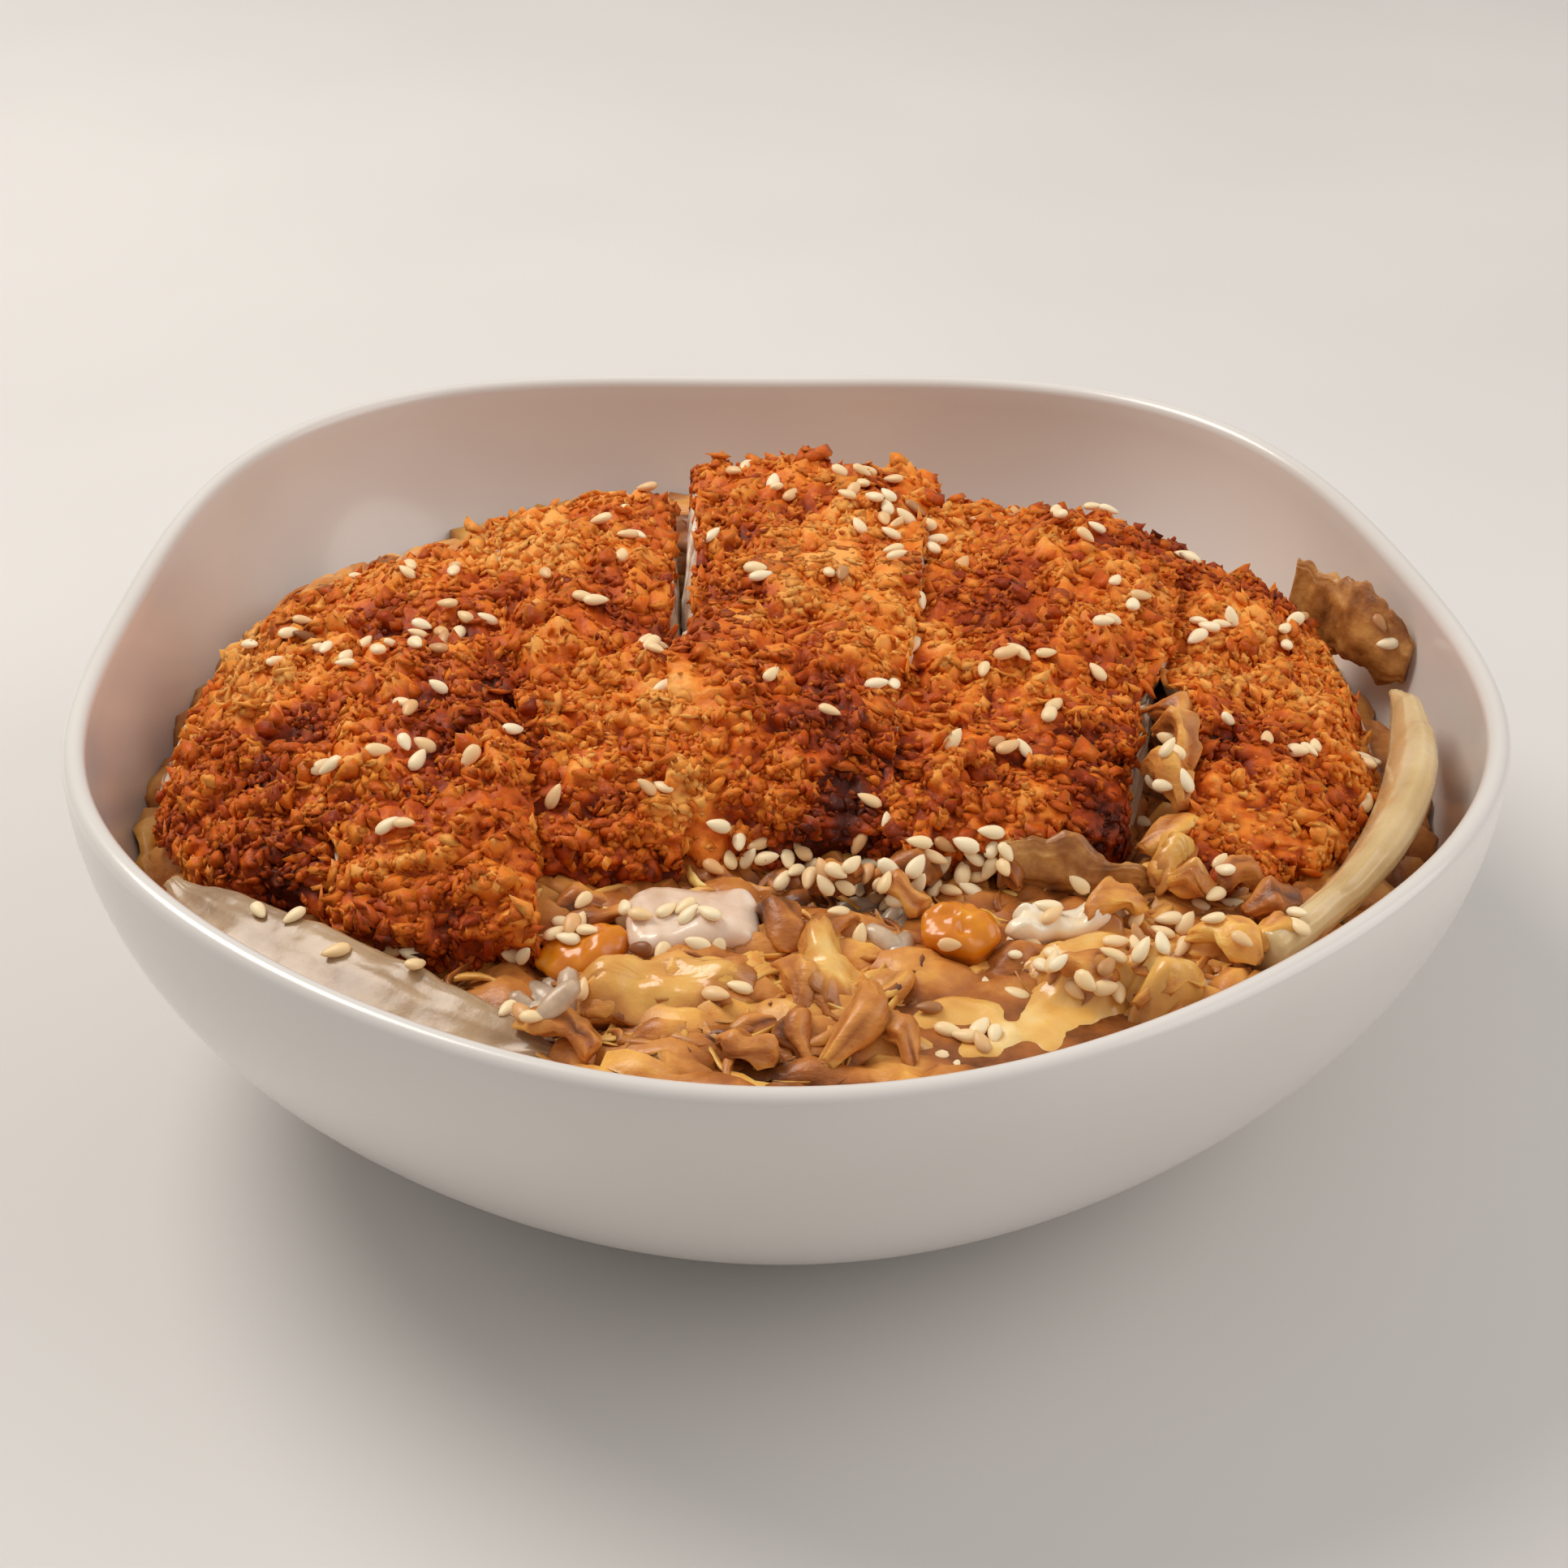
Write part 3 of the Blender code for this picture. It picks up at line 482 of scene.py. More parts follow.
def plan_radius(angle):
    """The rim's radius round the bowl."""
    turn = angle - math.pi / 2
    return RIM_RADIUS * (1 + sum(a * np.cos(n * turn) + b * np.sin(n * turn) for n, a, b in RIM_LOBES))


def rim_height(angle):
    return RIM_HEIGHT + sum(a * np.cos(n * (angle - math.pi / 2)) for n, a in RIM_WAVES)


def plan_middle():
    ring = full_turn(720)
    xs, ys = plan_radius(ring) * np.cos(ring), plan_radius(ring) * np.sin(ring)
    return (xs.min() + xs.max()) / 2, (ys.min() + ys.max()) / 2


MIDDLE = -np.array(plan_middle())


def at_angle(angle, radius, height):
    x, y = radius * np.cos(angle) + MIDDLE[0], radius * np.sin(angle) + MIDDLE[1]
    return np.stack(np.broadcast_arrays(x, y, height), axis=-1)


def outer_wall(angle, level):
    share = (1 - (1 - level) ** WALL_RISE) ** (1 / WALL_FLARE)
    return BASE_RADIUS + (plan_radius(angle) - BASE_RADIUS) * share, rim_height(angle) * level


def inner_wall(angle, level, depth=0.0):
    """(radius, height) inside the wall and depth further in, square to the wall."""
    (r0, z0) = outer_wall(angle, np.maximum(level - 1e-3, 0))
    (r1, z1) = outer_wall(angle, np.minimum(level + 1e-3, 1))
    length = np.hypot(r1 - r0, z1 - z0)
    thick = WALL_AT_RIM + (WALL_AT_BASE - WALL_AT_RIM) * (1 - level) ** 4 + depth
    radius, height = outer_wall(angle, level)
    return radius - thick * (z1 - z0) / length, height + thick * (r1 - r0) / length


def wall_reach(angle, height, depth=0.0):
    """The radius at which the inside of the wall has a given height, found by halving."""
    low, high = np.zeros(np.shape(angle)), np.ones(np.shape(angle))
    for _ in range(HALVINGS):
        middle = (low + high) / 2
        short = inner_wall(angle, middle, depth)[1] < height
        low, high = np.where(short, middle, low), np.where(short, high, middle)
    return inner_wall(angle, (low + high) / 2, depth)[0]


print("outline middle at", np.round(MIDDLE * 1000, 2), "mm")

# %% Bowl mesh
SIDES = 240
ring_angles = full_turn(SIDES)
foot_radius = FOOT_INSIDE - FOOT_BEVEL
rings = [at_angle(ring_angles, share * foot_radius, FOOT_RECESS) for share in (0.02, 0.5, 1.0)]
rings.append(at_angle(ring_angles, FOOT_INSIDE, 0))
for level in np.linspace(0, 1, 34) ** 1.7:
    rings.append(at_angle(ring_angles, *outer_wall(ring_angles, level)))
for turn in np.radians(np.arange(20, 180, 20)):
    half = WALL_AT_RIM / 2
    radius = plan_radius(ring_angles) - half + half * np.cos(turn)
    rings.append(at_angle(ring_angles, radius, rim_height(ring_angles) + half * np.sin(turn)))
for level in (np.linspace(0.05, 1, 30) ** 1.7)[::-1]:
    rings.append(at_angle(ring_angles, *inner_wall(ring_angles, level)))
rings.append(at_angle(ring_angles, 1 * MM, WALL_AT_BASE))
bowl = make_piece("bowl_glazed", np.concatenate(rings), skin_faces(len(rings), SIDES), [glaze.material])


def settle(piece, slot, *replaced):
    """Puts a finished piece on the part's body, in place of the solids it stands for. The slot is not used.
    """
    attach(piece, "root")
    for node in replaced:
        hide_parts(node)


settle(bowl, "white_glaze", "bowl")
print("bowl has", len(bowl.data.polygons), "faces")

# %% [markdown]
# ## Where the fillings lie
#
# The egg and rice are highest under the cutlet. They fall away to both sides and, behind the cutlet,
# steeply towards the wall. The named egg and onion pieces and the gaps that show rice are given here,
# because the bed of egg has to be low under the pieces and open over the rice.

# %% The level of the bed
EGG_LEVEL = 45.5 * MM
RICE_LEVEL = 40 * MM
FALL_AT_SIDES = 5.5 * MM
FALL_WIDTH = 77.5 * MM
BACK_FALL = 13 * MM
HEAP_SPAN = (80 * MM, 50 * MM)
OVAL_POWER = 2.6
ONION_HOLLOW = 2.6 * MM
CLEARANCE = 0.45 * MM
# How often an edge is moved to the wall at its own new height, which brings the two together.
EDGE_ROUNDS = 8
RICE_WINDOWS = (
    (8.6, -53.4, 4.9, 4.2),
    (-26.0, -70.0, 4.4, 3.8),
    (44.6, -66.4, 5.2, 4.0),
    (-6.0, 69.0, 7.0, 4.6),
    (38.0, 62.0, 5.4, 4.4),
)
LUMPS = (
    ("egg_yolk_left", (-23.0, -62.4), (5.0, 3.3), 6, 4.4),
    ("egg_yolk_right", (19.4, -61.2), (4.4, 3.9), -20, 5.0),
    ("egg_white", (32.0, -56.4), (7.4, 2.9), 20, 3.6),
    ("onion_chunk", (-10.6, -57.6), (7.4, 4.3), 6, 4.6),
    ("egg_sheet", (24.6, -75.6), (11.6, 8.2), 12, 1.9),
)


def ease(low, high, value):
    share = np.clip((value - low) / (high - low), 0, 1)
    return share * share * (3 - 2 * share)


def fall(x, y):
    """How far the heap has sunk to the sides, and behind the cutlet towards the wall."""
    beyond = np.abs((x + 2 * MM) / HEAP_SPAN[0]) ** OVAL_POWER + np.abs(y / HEAP_SPAN[1]) ** OVAL_POWER
    starts = np.where(x < 0, -35, 2) * MM
    slope = ease(0.95, 1.5, beyond ** (1 / OVAL_POWER)) * ease(starts, starts + 28 * MM, y)
    return FALL_AT_SIDES * (x / FALL_WIDTH) ** 2 + BACK_FALL * slope


def egg_top(x, y):
    """The bare top of the egg layer, as in its solid."""
    along_wall = ease(60 * MM, 74 * MM, np.hypot(x, y))
    left_front = ease(14 * MM, 28 * MM, -x) * ease(20 * MM, 40 * MM, -y)
    return EGG_LEVEL - fall(x, y) - ONION_HOLLOW * along_wall * left_front


def under_lumps(x, y):
    """How surely a place lies under one of the egg and onion lumps, from 0 to 1."""
    most = np.zeros(np.shape(x))
    for _, (cx, cy), (wide, deep), turn, _ in LUMPS:
        c, s = math.cos(math.radians(turn)), math.sin(math.radians(turn))
        a, b = x / MM - cx, y / MM - cy
        away = np.hypot((a * c + b * s) / wide, (b * c - a * s) / deep)
        most = np.maximum(most, 1 - ease(0.85, 1.5, away))
    return most


# %% The cutlet's outline
CUTLET_MIDDLE = -2 * MM
CUTLET_HALF_WIDTH = 77.5 * MM
CUTLET_HALF_DEPTH = 47.5 * MM
CUTLET_THICKNESS = 16 * MM
BACK_POWER = 3.4
FRONT_POWER = 2.3
WAIST = 0.32
SWELL = 1.5 * MM
STRIPS = (
    (-79.3, -79.3, -54.4, -65.4, -10.0, 1.0, 0.76, 1.2),
    (-53.4, -64.4, -31.0, -42.2, -14.2, 1.05, 0.85, 0.6),
    (-29.8, -41.0, -14.0, -16.5, -2.8, 1.0, 0.85, -0.5),
    (-11.8, -12.6, 11.2, 20.2, 2.5, 1.0, 1.0, 0.4),
    (12.3, 21.3, 40.6, 52.6, -1.6, 0.95, 0.88, 0.6),
    (48.0, 54.6, 75.3, 75.3, -4.5, 1.14, 0.77, -0.8),
)
CUT_FRONT = -45 * MM
CUT_BACK = 40 * MM


def half_depth(x):
    share = np.minimum(np.abs((x - CUTLET_MIDDLE) / CUTLET_HALF_WIDTH), 0.985)
    return CUTLET_HALF_DEPTH * (1 - share**OVAL_POWER) ** (1 / OVAL_POWER)


def thickness(x):
    share = np.minimum(np.abs((x - CUTLET_MIDDLE) / CUTLET_HALF_WIDTH), 0.985)
    return CUTLET_THICKNESS * (1 - share**7) ** 0.5


def cut_x(number, side, y):
    front, back = STRIPS[number][2 * side] * MM, STRIPS[number][2 * side + 1] * MM
    return front + (back - front) * (y - CUT_FRONT) / (CUT_BACK - CUT_FRONT)


def under_cutlet(x, y, margin=0.0):
    """1 where a place lies under the cutlet, or within a margin of it, and 0 elsewhere."""
    inside = np.zeros(np.shape(x))
    for number, strip in enumerate(STRIPS):
        between = (x > cut_x(number, 0, y) - margin) & (x < cut_x(number, 1, y) + margin)
        reach = half_depth(x) * strip[5] + margin
        inside = np.maximum(inside, between & (np.abs(y - strip[4] * MM) < reach))
    return inside


print("cutlet in", len(STRIPS), "strips")

# %% [markdown]
# ## The bed of simmered egg and onion
#
# Under the cutlet lies a wet, shredded layer. As a smooth sheet it would look like plaster, so the
# layer is a fine grid of rings, raised by ridged noise that is bent by a slower noise, as torn egg is.
# It is open where the rice shows, and its edge follows the wall at whatever height it has there.

# %% Egg bed mesh
BED_SIDES, BED_ROWS = 288, 98
SUNK_AT_SIDES = 6
BED_THICKNESS = 2.2 * MM
# How much of each gap in the solid the shreds leave open.
OPEN_SHARES = (1.0, 0.55, 0.75, 0.9, 0.9)


def sunk(x, y):
    """How much lower the egg lies by the wall beside the cutlet."""
    return ease(66 * MM, 79 * MM, np.abs(x)) * ease(-58 * MM, -40 * MM, y) * SUNK_AT_SIDES * MM


def bed_relief(x, y):
    """Ridges and lumps of shredded egg, low under the cutlet and under the lumps."""
    flat = flat_points(x, y)
    warp = rough_noise(flat, 9 * MM, 2, 3.0) * 3 * MM
    bent = flat + np.stack([warp, -warp, warp], axis=-1)
    ridges = 1 - np.abs(rough_noise(bent * [0.6, 1.25, 1], 5.0 * MM, 3, 1.0)) * 1.8
    lumps = rough_noise(flat, 8 * MM, 3, 5.0)
    rough = (ridges * 1.9 + lumps * np.where(y < 0, 1.9, 1.2) - 0.7) * MM
    rough = rough * (1 - 0.8 * under_cutlet(x, y, -3 * MM))
    covered = under_lumps(x, y)
    return rough * (1 - covered) - 0.7 * MM * covered - sunk(x, y)


bed_angles = full_turn(BED_SIDES)
shares = np.linspace(0.02, 1, BED_ROWS) ** 0.8
edge = at_angle(bed_angles, RIM_RADIUS * 0.9, 0)
for _ in range(EDGE_ROUNDS):
    level = egg_top(edge[:, 0], edge[:, 1]) + bed_relief(edge[:, 0], edge[:, 1])
    edge = at_angle(bed_angles, wall_reach(bed_angles, level, CLEARANCE * 0.3), 0)
grid = MIDDLE + (edge[None, :, :2] - MIDDLE) * shares[:, None, None]
bed_x, bed_y = grid[..., 0], grid[..., 1]
bed_z = egg_top(bed_x, bed_y) + bed_relief(bed_x, bed_y)
bed_verts = np.stack([bed_x, bed_y, bed_z], axis=-1).reshape(-1, 3)
bed_faces = skin_faces(BED_ROWS, BED_SIDES, close_ends=False)
bed_faces.append(tuple(range(BED_SIDES)))


def in_window(x, y, grow=1.0):
    """True where the egg is open and the rice shows."""
    inside = np.zeros(np.shape(x), bool)
    for (wx, wy, wide, deep), left_open in zip(RICE_WINDOWS, OPEN_SHARES):
        wobble = 1 + 0.3 * soft_noise(flat_points(x, y), 3 * MM, 9.0)
        inside |= np.hypot((x / MM - wx) / wide, (y / MM - wy) / deep) < grow * left_open * wobble
    return inside


middles = np.array([bed_verts[list(f[:4])].mean(axis=0) for f in bed_faces])
open_here = in_window(middles[:, 0], middles[:, 1])
bed_faces = [f for f, gone in zip(bed_faces, open_here) if not gone]
bed_sunk = sunk(bed_verts[:, 0], bed_verts[:, 1])
raised = bed_verts[:, 2] - egg_top(bed_verts[:, 0], bed_verts[:, 1]) + bed_sunk
# Painted shade: the bed is paler on its ridges and darker in its hollows; it is paler where it sinks by the
# wall.
bed_tint_and_shade = 0.58 + 0.26 * rough_noise(bed_verts, 9 * MM, 3, 2.0) - 110 * raised - 8 * bed_sunk
bed = make_piece("egg_bed", bed_verts, bed_faces, [egg.material], {"tint": bed_tint_and_shade})
shell = bed.modifiers.new("layer", "SOLIDIFY")
shell.thickness = BED_THICKNESS
shell.offset = -1
bed_tree = BVHTree.FromPolygons([Vector(v) for v in bed_verts], bed_faces)
settle(bed, "simmered_egg", "simmered_egg")
print("egg bed has", len(bed_faces), "faces")

# %% [markdown]
# ## Folds and shreds of egg
#
# Cooked egg and onion break into folded strands, 5 to 18 mm long, that lie over one another. Each is
# a bent, twisted band with fibres along it. The ones that can be told apart in the photograph are
# given by the two ends of each strand in the picture, dropped on the bed. The rest are scattered, and
# thin shreds lie between them, all roughly following one slow flow, as stirred egg does.

# %% Fold form
FOLD_ROWS, FOLD_SIDES = 15, 18
SHRED_ROWS, SHRED_SIDES = 9, 6
DOWN = Vector((0, 0, -1))


def on_level(px, py, level):
    """Where a place in the photograph falls at a given height."""
    ray = picture_ray(px, py)
    return np.array(CAMERA_PLACE + ray * (level - CAMERA_PLACE.z) / ray.z)


def on_bed(px, py):
    """Where a place in the photograph falls on the egg bed, or on its plain level in a gap."""
    spot = bed_tree.ray_cast(CAMERA_PLACE, picture_ray(px, py))[0]
    return on_level(px, py, EGG_LEVEL) if spot is None else np.array(spot)


def height_from_above(trees, x, y):
    """The heights at which a line straight down meets the given pieces."""
    hits = [tree.ray_cast(Vector((x, y, 2 * RIM_HEIGHT)), DOWN)[0] for tree in trees]
    return [h.z for h in hits if h]


def plain_level(x, y):
    return float(egg_top(np.array(x), np.array(y)))


def bed_height(x, y):
    return (height_from_above([bed_tree], x, y) or [plain_level(x, y)])[0]


def keep_off_wall(verts):
    """Pulls points that would cross the bowl's wall back inside it."""
    out = np.array(verts)
    angle = np.arctan2(out[:, 1] - MIDDLE[1], out[:, 0] - MIDDLE[0])
    radius = np.hypot(out[:, 0] - MIDDLE[0], out[:, 1] - MIDDLE[1])
    limit = wall_reach(angle, np.minimum(out[:, 2], 51 * MM), 0.25 * MM)
    over = radius > limit
    out[over] = at_angle(angle, np.minimum(radius, limit), out[:, 2])[over]
    return out


def fold_form(start, end, width, height, draw, rows=FOLD_ROWS, points=FOLD_SIDES, curl=0.25):
    """Rings of one fold from start to end: a flat band with fibres along it, and how dark they are."""
    start, end = np.asarray(start), np.asarray(end)
    run = end - start
    length = np.linalg.norm(run[:2])
    side = np.array([-run[1], run[0], 0]) / max(length, 1e-6)
    bend, sag = draw.uniform(-curl, curl) * length, draw.uniform(0.6, 1.4)
    twist, lean = draw.uniform(-0.8, 0.8), draw.uniform(-0.5, 0.5)
    share = np.linspace(0, 1, rows)[:, None]
    turn = full_turn(points)[None]
    swell = np.clip(np.sin(math.pi * (0.05 + 0.9 * share)), 0, 1) ** 0.45
    ahead = 1.6 * share + draw.uniform(0, 40)
    around = np.broadcast_arrays(2.0 * np.cos(turn), 2.0 * np.sin(turn), ahead)
    fibre = soft_noise(np.stack(around, -1), 1.0)
    waves = np.sin(share * draw.uniform(6, 13) + draw.uniform(0, 6))
    radius = swell * (1 + 0.34 * fibre + 0.16 * waves)
    flat, high = np.cos(turn) * width / 2 * radius, np.sin(turn) * height / 2 * radius
    roll = lean + twist * (share - 0.5)
    out, up = flat * np.cos(roll) - high * np.sin(roll), flat * np.sin(roll) + high * np.cos(roll)
    middle = start[None, None] + run[None, None] * share[..., None]
    middle = middle + side * (bend * np.sin(math.pi * share))[..., None]
    rings = middle + side * out[..., None]
    rings[..., 2] += height * (0.15 + 0.45 * sag * np.sin(math.pi * share)) + up
    spots = rings.reshape(-1, 3)
    ripple = rough_noise(spots, 2.6 * MM, 2, draw.uniform(0, 9))[:, None]
    spots = spots + ripple * np.array([[0.16, 0.16, 0.20]]) * min(width, 3.5 * MM)
    return spots, -0.26 * fibre.ravel()


def join_folds(name, folds, rows=FOLD_ROWS, points=FOLD_SIDES):
    """Joins folds into one piece. folds are (points, darkness of the fibres, tint)."""
    verts = keep_off_wall(np.concatenate([form for form, _, _ in folds]))
    tints = np.concatenate([tint + dark for _, dark, tint in folds])
    tints = tints + 0.14 * rough_noise(verts, 4 * MM, 2, 6.0)
    faces = []
    for k in range(len(folds)):
        faces += skin_faces(rows, points, start=k * rows * points)
    piece = make_piece(name, verts, faces, [egg.material], {"tint": tints})
    settle(piece, "simmered_egg")
    return piece


print("a fold has", FOLD_ROWS * FOLD_SIDES, "points")

# %% Folds told apart in the photograph
# Each is the two ends in the picture, then width and height in mm and how much broth it took.
FOLD_MARKS = (
    (664, 1150, 776, 1132, 4.2, 3.0, 0.62), (650, 1200, 684, 1150, 3.2, 2.6, 0.66),
    (905, 1105, 960, 1165, 3.2, 2.8, 0.66), (940, 1090, 1010, 1120, 4.0, 3.2, 0.70),
    (985, 1075, 1060, 1105, 4.6, 3.8, 0.58), (1060, 1100, 1150, 1082, 4.4, 3.6, 0.66),
    (1150, 1075, 1215, 1110, 3.8, 3.4, 0.56), (1000, 1180, 1010, 1260, 3.4, 3.0, 0.52),
    (1030, 1190, 1065, 1290, 3.8, 3.4, 0.60), (1070, 1230, 1110, 1320, 3.4, 3.0, 0.48),
    (985, 1250, 1010, 1340, 3.6, 2.8, 0.64), (940, 1240, 985, 1330, 3.8, 3.0, 0.50),
    (690, 1252, 800, 1222, 4.8, 3.2, 0.46), (770, 1228, 905, 1214, 5.2, 3.4, 0.54),
    (690, 1285, 800, 1260, 4.4, 3.0, 0.60), (790, 1262, 930, 1245, 4.8, 3.2, 0.62),
    (760, 1312, 866, 1288, 4.4, 3.2, 0.50), (850, 1300, 950, 1280, 3.8, 2.8, 0.62),
    (880, 1335, 960, 1325, 3.4, 2.4, 0.56), (1080, 1328, 1150, 1306, 3.4, 2.4, 0.62),
    (1340, 1246, 1436, 1214, 4.4, 3.0, 0.56), (1390, 1270, 1460, 1240, 3.8, 2.6, 0.62),
    (1366, 1150, 1440, 1180, 4.0, 3.2, 0.50), (1450, 1180, 1545, 1196, 4.0, 3.0, 0.24),
    (1465, 1158, 1510, 1206, 2.8, 2.6, 0.28), (1500, 1150, 1590, 1120, 4.4, 3.4, 0.62),
    (1440, 1110, 1510, 1130, 4.0, 3.0, 0.50), (1560, 1140, 1620, 1110, 3.8, 3.0, 0.60),
    (1570, 1190, 1600, 1150, 3.2, 2.6, 0.64), (1216, 1060, 1280, 1104, 4.2, 3.6, 0.62),
    (600, 1200, 660, 1180, 3.0, 2.2, 0.64), (1420, 905, 1470, 960, 4.0, 3.8, 0.44),
    (1405, 1040, 1470, 1010, 3.8, 3.2, 0.34), (1290, 1206, 1390, 1186, 4.2, 2.8, 0.50),
    (1180, 1230, 1226, 1196, 2.6, 2.0, 0.36), (1120, 1290, 1180, 1240, 3.0, 2.0, 0.30),
)
# The same for folds that stand higher than the bed, with their height above it in mm.
RAISED_MARKS = (
    (1420, 912, 1462, 950, 4.8, 4.4, 0.44, 8.0), (1412, 950, 1458, 1000, 4.8, 4.2, 0.36, 6.5),
    (1404, 1052, 1470, 1016, 4.4, 3.6, 0.36, 3.2), (1416, 880, 1440, 920, 3.8, 3.4, 0.48, 7.5),
    (1422, 1090, 1466, 1050, 4.6, 3.4, 0.42, 2.6), (1000, 1100, 1062, 1084, 4.6, 3.6, 0.56, 3.0),
    (1010, 1200, 1050, 1140, 4.2, 3.6, 0.50, 2.6), (1070, 1092, 1160, 1076, 4.4, 3.4, 0.62, 2.6),
    (1180, 1072, 1260, 1092, 4.8, 3.6, 0.54, 2.6), (1020, 1310, 1060, 1220, 4.6, 3.6, 0.46, 2.2),
    (720, 1250, 820, 1216, 5.4, 3.2, 0.40, 1.6), (850, 1216, 930, 1236, 4.8, 3.2, 0.48, 1.6),
    (1530, 1130, 1600, 1120, 4.6, 3.4, 0.58, 1.8), (1470, 1150, 1550, 1190, 3.8, 3.0, 0.22, 1.8),
    (1300, 1196, 1372, 1222, 4.6, 3.2, 0.46, 2.0), (1380, 1196, 1450, 1222, 4.2, 3.2, 0.52, 2.0),
    (1400, 1240, 1480, 1206, 4.0, 2.8, 0.34, 1.6), (1440, 1090, 1500, 1104, 4.2, 3.2, 0.40, 3.0),
    (1500, 1100, 1556, 1082, 3.8, 3.0, 0.58, 3.0), (1340, 1128, 1412, 1112, 4.0, 3.0, 0.36, 3.0),
    (1540, 1170, 1590, 1140, 3.8, 3.0, 0.30, 1.8), (936, 1130, 980, 1180, 4.4, 3.4, 0.64, 2.4),
    (950, 1200, 985, 1262, 4.2, 3.2, 0.52, 2.2), (640, 1262, 730, 1300, 4.4, 3.0, 0.48, 1.2),
    (880, 1290, 960, 1310, 4.2, 3.0, 0.44, 1.4), (1060, 1280, 1130, 1316, 4.2, 3.0, 0.52, 1.4),
    (1096, 1096, 1140, 1120, 3.6, 3.0, 0.48, 3.0),
)
# They are made a little wider than they look, so that neighbours touch.
FOLD_WIDENING = 1.15
draw = np.random.default_rng(21)
folds = []
for x0, y0, x1, y1, width, height, tint in FOLD_MARKS:
    band = fold_form(on_bed(x0, y0), on_bed(x1, y1), width * FOLD_WIDENING * MM, height * MM, draw)
    folds.append((*band, tint))
for x0, y0, x1, y1, width, height, tint, lift in RAISED_MARKS:
    ends = [on_level(px, py, EGG_LEVEL + lift * MM) for px, py in ((x0, y0), (x1, y1))]
    folds.append((*fold_form(*ends, width * MM, height * MM, draw), tint))
print(len(folds), "folds from the photograph")

# %% Free folds and shreds
FREE_FOLDS, SHREDS = 165, 640
# Half of them lie at the front, where the photograph looks.
FRONT_SHARE = 0.5


def free_place(draw, margin):
    """A random place on the bare egg, clear of the cutlet, the gaps and the lumps."""
    while True:
        angle, share = draw.uniform(0, 2 * math.pi), math.sqrt(draw.uniform(0.1, 0.94))
        if draw.uniform() < FRONT_SHARE:
            angle = draw.uniform(1.3, 1.75) * math.pi
        level = (30 if angle < math.pi else 40) * MM
        x, y, _ = at_angle(angle, float(wall_reach(angle, level, margin)) * share, 0)
        spot = np.array([x]), np.array([y])
        taken = under_cutlet(*spot, margin / 2)[0] or in_window(*spot, 1.3)[0]
        if not (taken or under_lumps(*spot)[0] > 0.3):
            return x, y


def laid_strand(draw, length, width, thick, **form):
    """One strand at a free place, turned with the flow of the stirred egg."""
    x, y = free_place(draw, 4 * MM)
    flow = 1.6 * float(soft_noise(np.array([[x, y, 0]]), 22 * MM, 4.0)[0]) + draw.normal(0, 0.5)
    step = np.array([math.cos(flow), math.sin(flow)]) * length / 2
    ends = [(x + sign * step[0], y + sign * step[1]) for sign in (-1, 1)]
    ends = [(a, b, bed_height(a, b)) for a, b in ends]
    return fold_form(*ends, width, thick, draw, **form)


for _ in range(FREE_FOLDS):
    size = draw.uniform(2.4, 5.4) * MM
    strand = laid_strand(draw, draw.uniform(6, 14) * MM, size, size * 0.5)
    folds.append((*strand, draw.uniform(0.24, 0.62)))
egg_folds = join_folds("egg_folds", folds)
shreds = []
thin = {"rows": SHRED_ROWS, "points": SHRED_SIDES}
for _ in range(SHREDS):
    size = draw.uniform(0.5, 1.5) * MM
    form, dark = laid_strand(draw, draw.uniform(4, 13) * MM, size, size * 0.7, curl=0.5, **thin)
    shreds.append((form + [0, 0, draw.uniform(0, 2.4) * MM], dark, draw.uniform(0.12, 0.7)))
join_folds("egg_shreds", shreds, **thin)


def piece_tree(piece):
    points = [v.co for v in piece.data.vertices]
    return BVHTree.FromPolygons(points, [tuple(p.vertices) for p in piece.data.polygons])


fold_tree = piece_tree(egg_folds)
print(len(folds), "folds and", len(shreds), "shreds")

# %% [markdown]
# ## Rice
#
# Rice only shows through gaps in the egg, as wet, blunt ovals of about 3 by 7 mm. A core fills the
# bottom of the bowl, heaped up under each gap and covered in bumps of a grain's size, and loose
# grains, joined into one mesh, lie on it in the gaps. A few more lie between the folds.

# %% Rice core
CORE_SIDES, CORE_ROWS = 150, 54
HEAP_IN_GAPS = 4.2


def rice_top(x, y):
    """The rice's level, as in its solid, but heaped up to the egg where that is open."""
    heap = np.zeros(np.shape(x))
    for wx, wy, wide, deep in RICE_WINDOWS:
        away = np.hypot((x / MM - wx) / (wide + 1), (y / MM - wy) / (deep + 1))
        heap = np.maximum(heap, 1 - ease(0.8, 1.4, away))
    grains = np.abs(rough_noise(flat_points(x, y), 3.4 * MM, 2, 8.0))
    return RICE_LEVEL - fall(x, y) + (HEAP_IN_GAPS * heap + 1.1 * grains - 0.5) * MM


core_angles = full_turn(CORE_SIDES)
edge = at_angle(core_angles, RIM_RADIUS * 0.9, 0)
for _ in range(EDGE_ROUNDS):
    level = rice_top(edge[:, 0], edge[:, 1])
    edge = at_angle(core_angles, wall_reach(core_angles, level, CLEARANCE), level)
rings = [at_angle(core_angles, 1 * MM, WALL_AT_BASE + CLEARANCE)]
for level in np.linspace(0.05, 0.5, 12):
    rings.append(at_angle(core_angles, *inner_wall(core_angles, level, CLEARANCE)))
for share in np.linspace(1, 0.01, CORE_ROWS):
    flat = MIDDLE + (edge[:, :2] - MIDDLE) * share
    rings.append(np.column_stack([flat, rice_top(flat[:, 0], flat[:, 1])]))
core_faces = skin_faces(len(rings), CORE_SIDES)
rice_core = make_piece("rice_core", np.concatenate(rings), core_faces, [rice_white.material])
settle(rice_core, "steamed_rice", "rice")
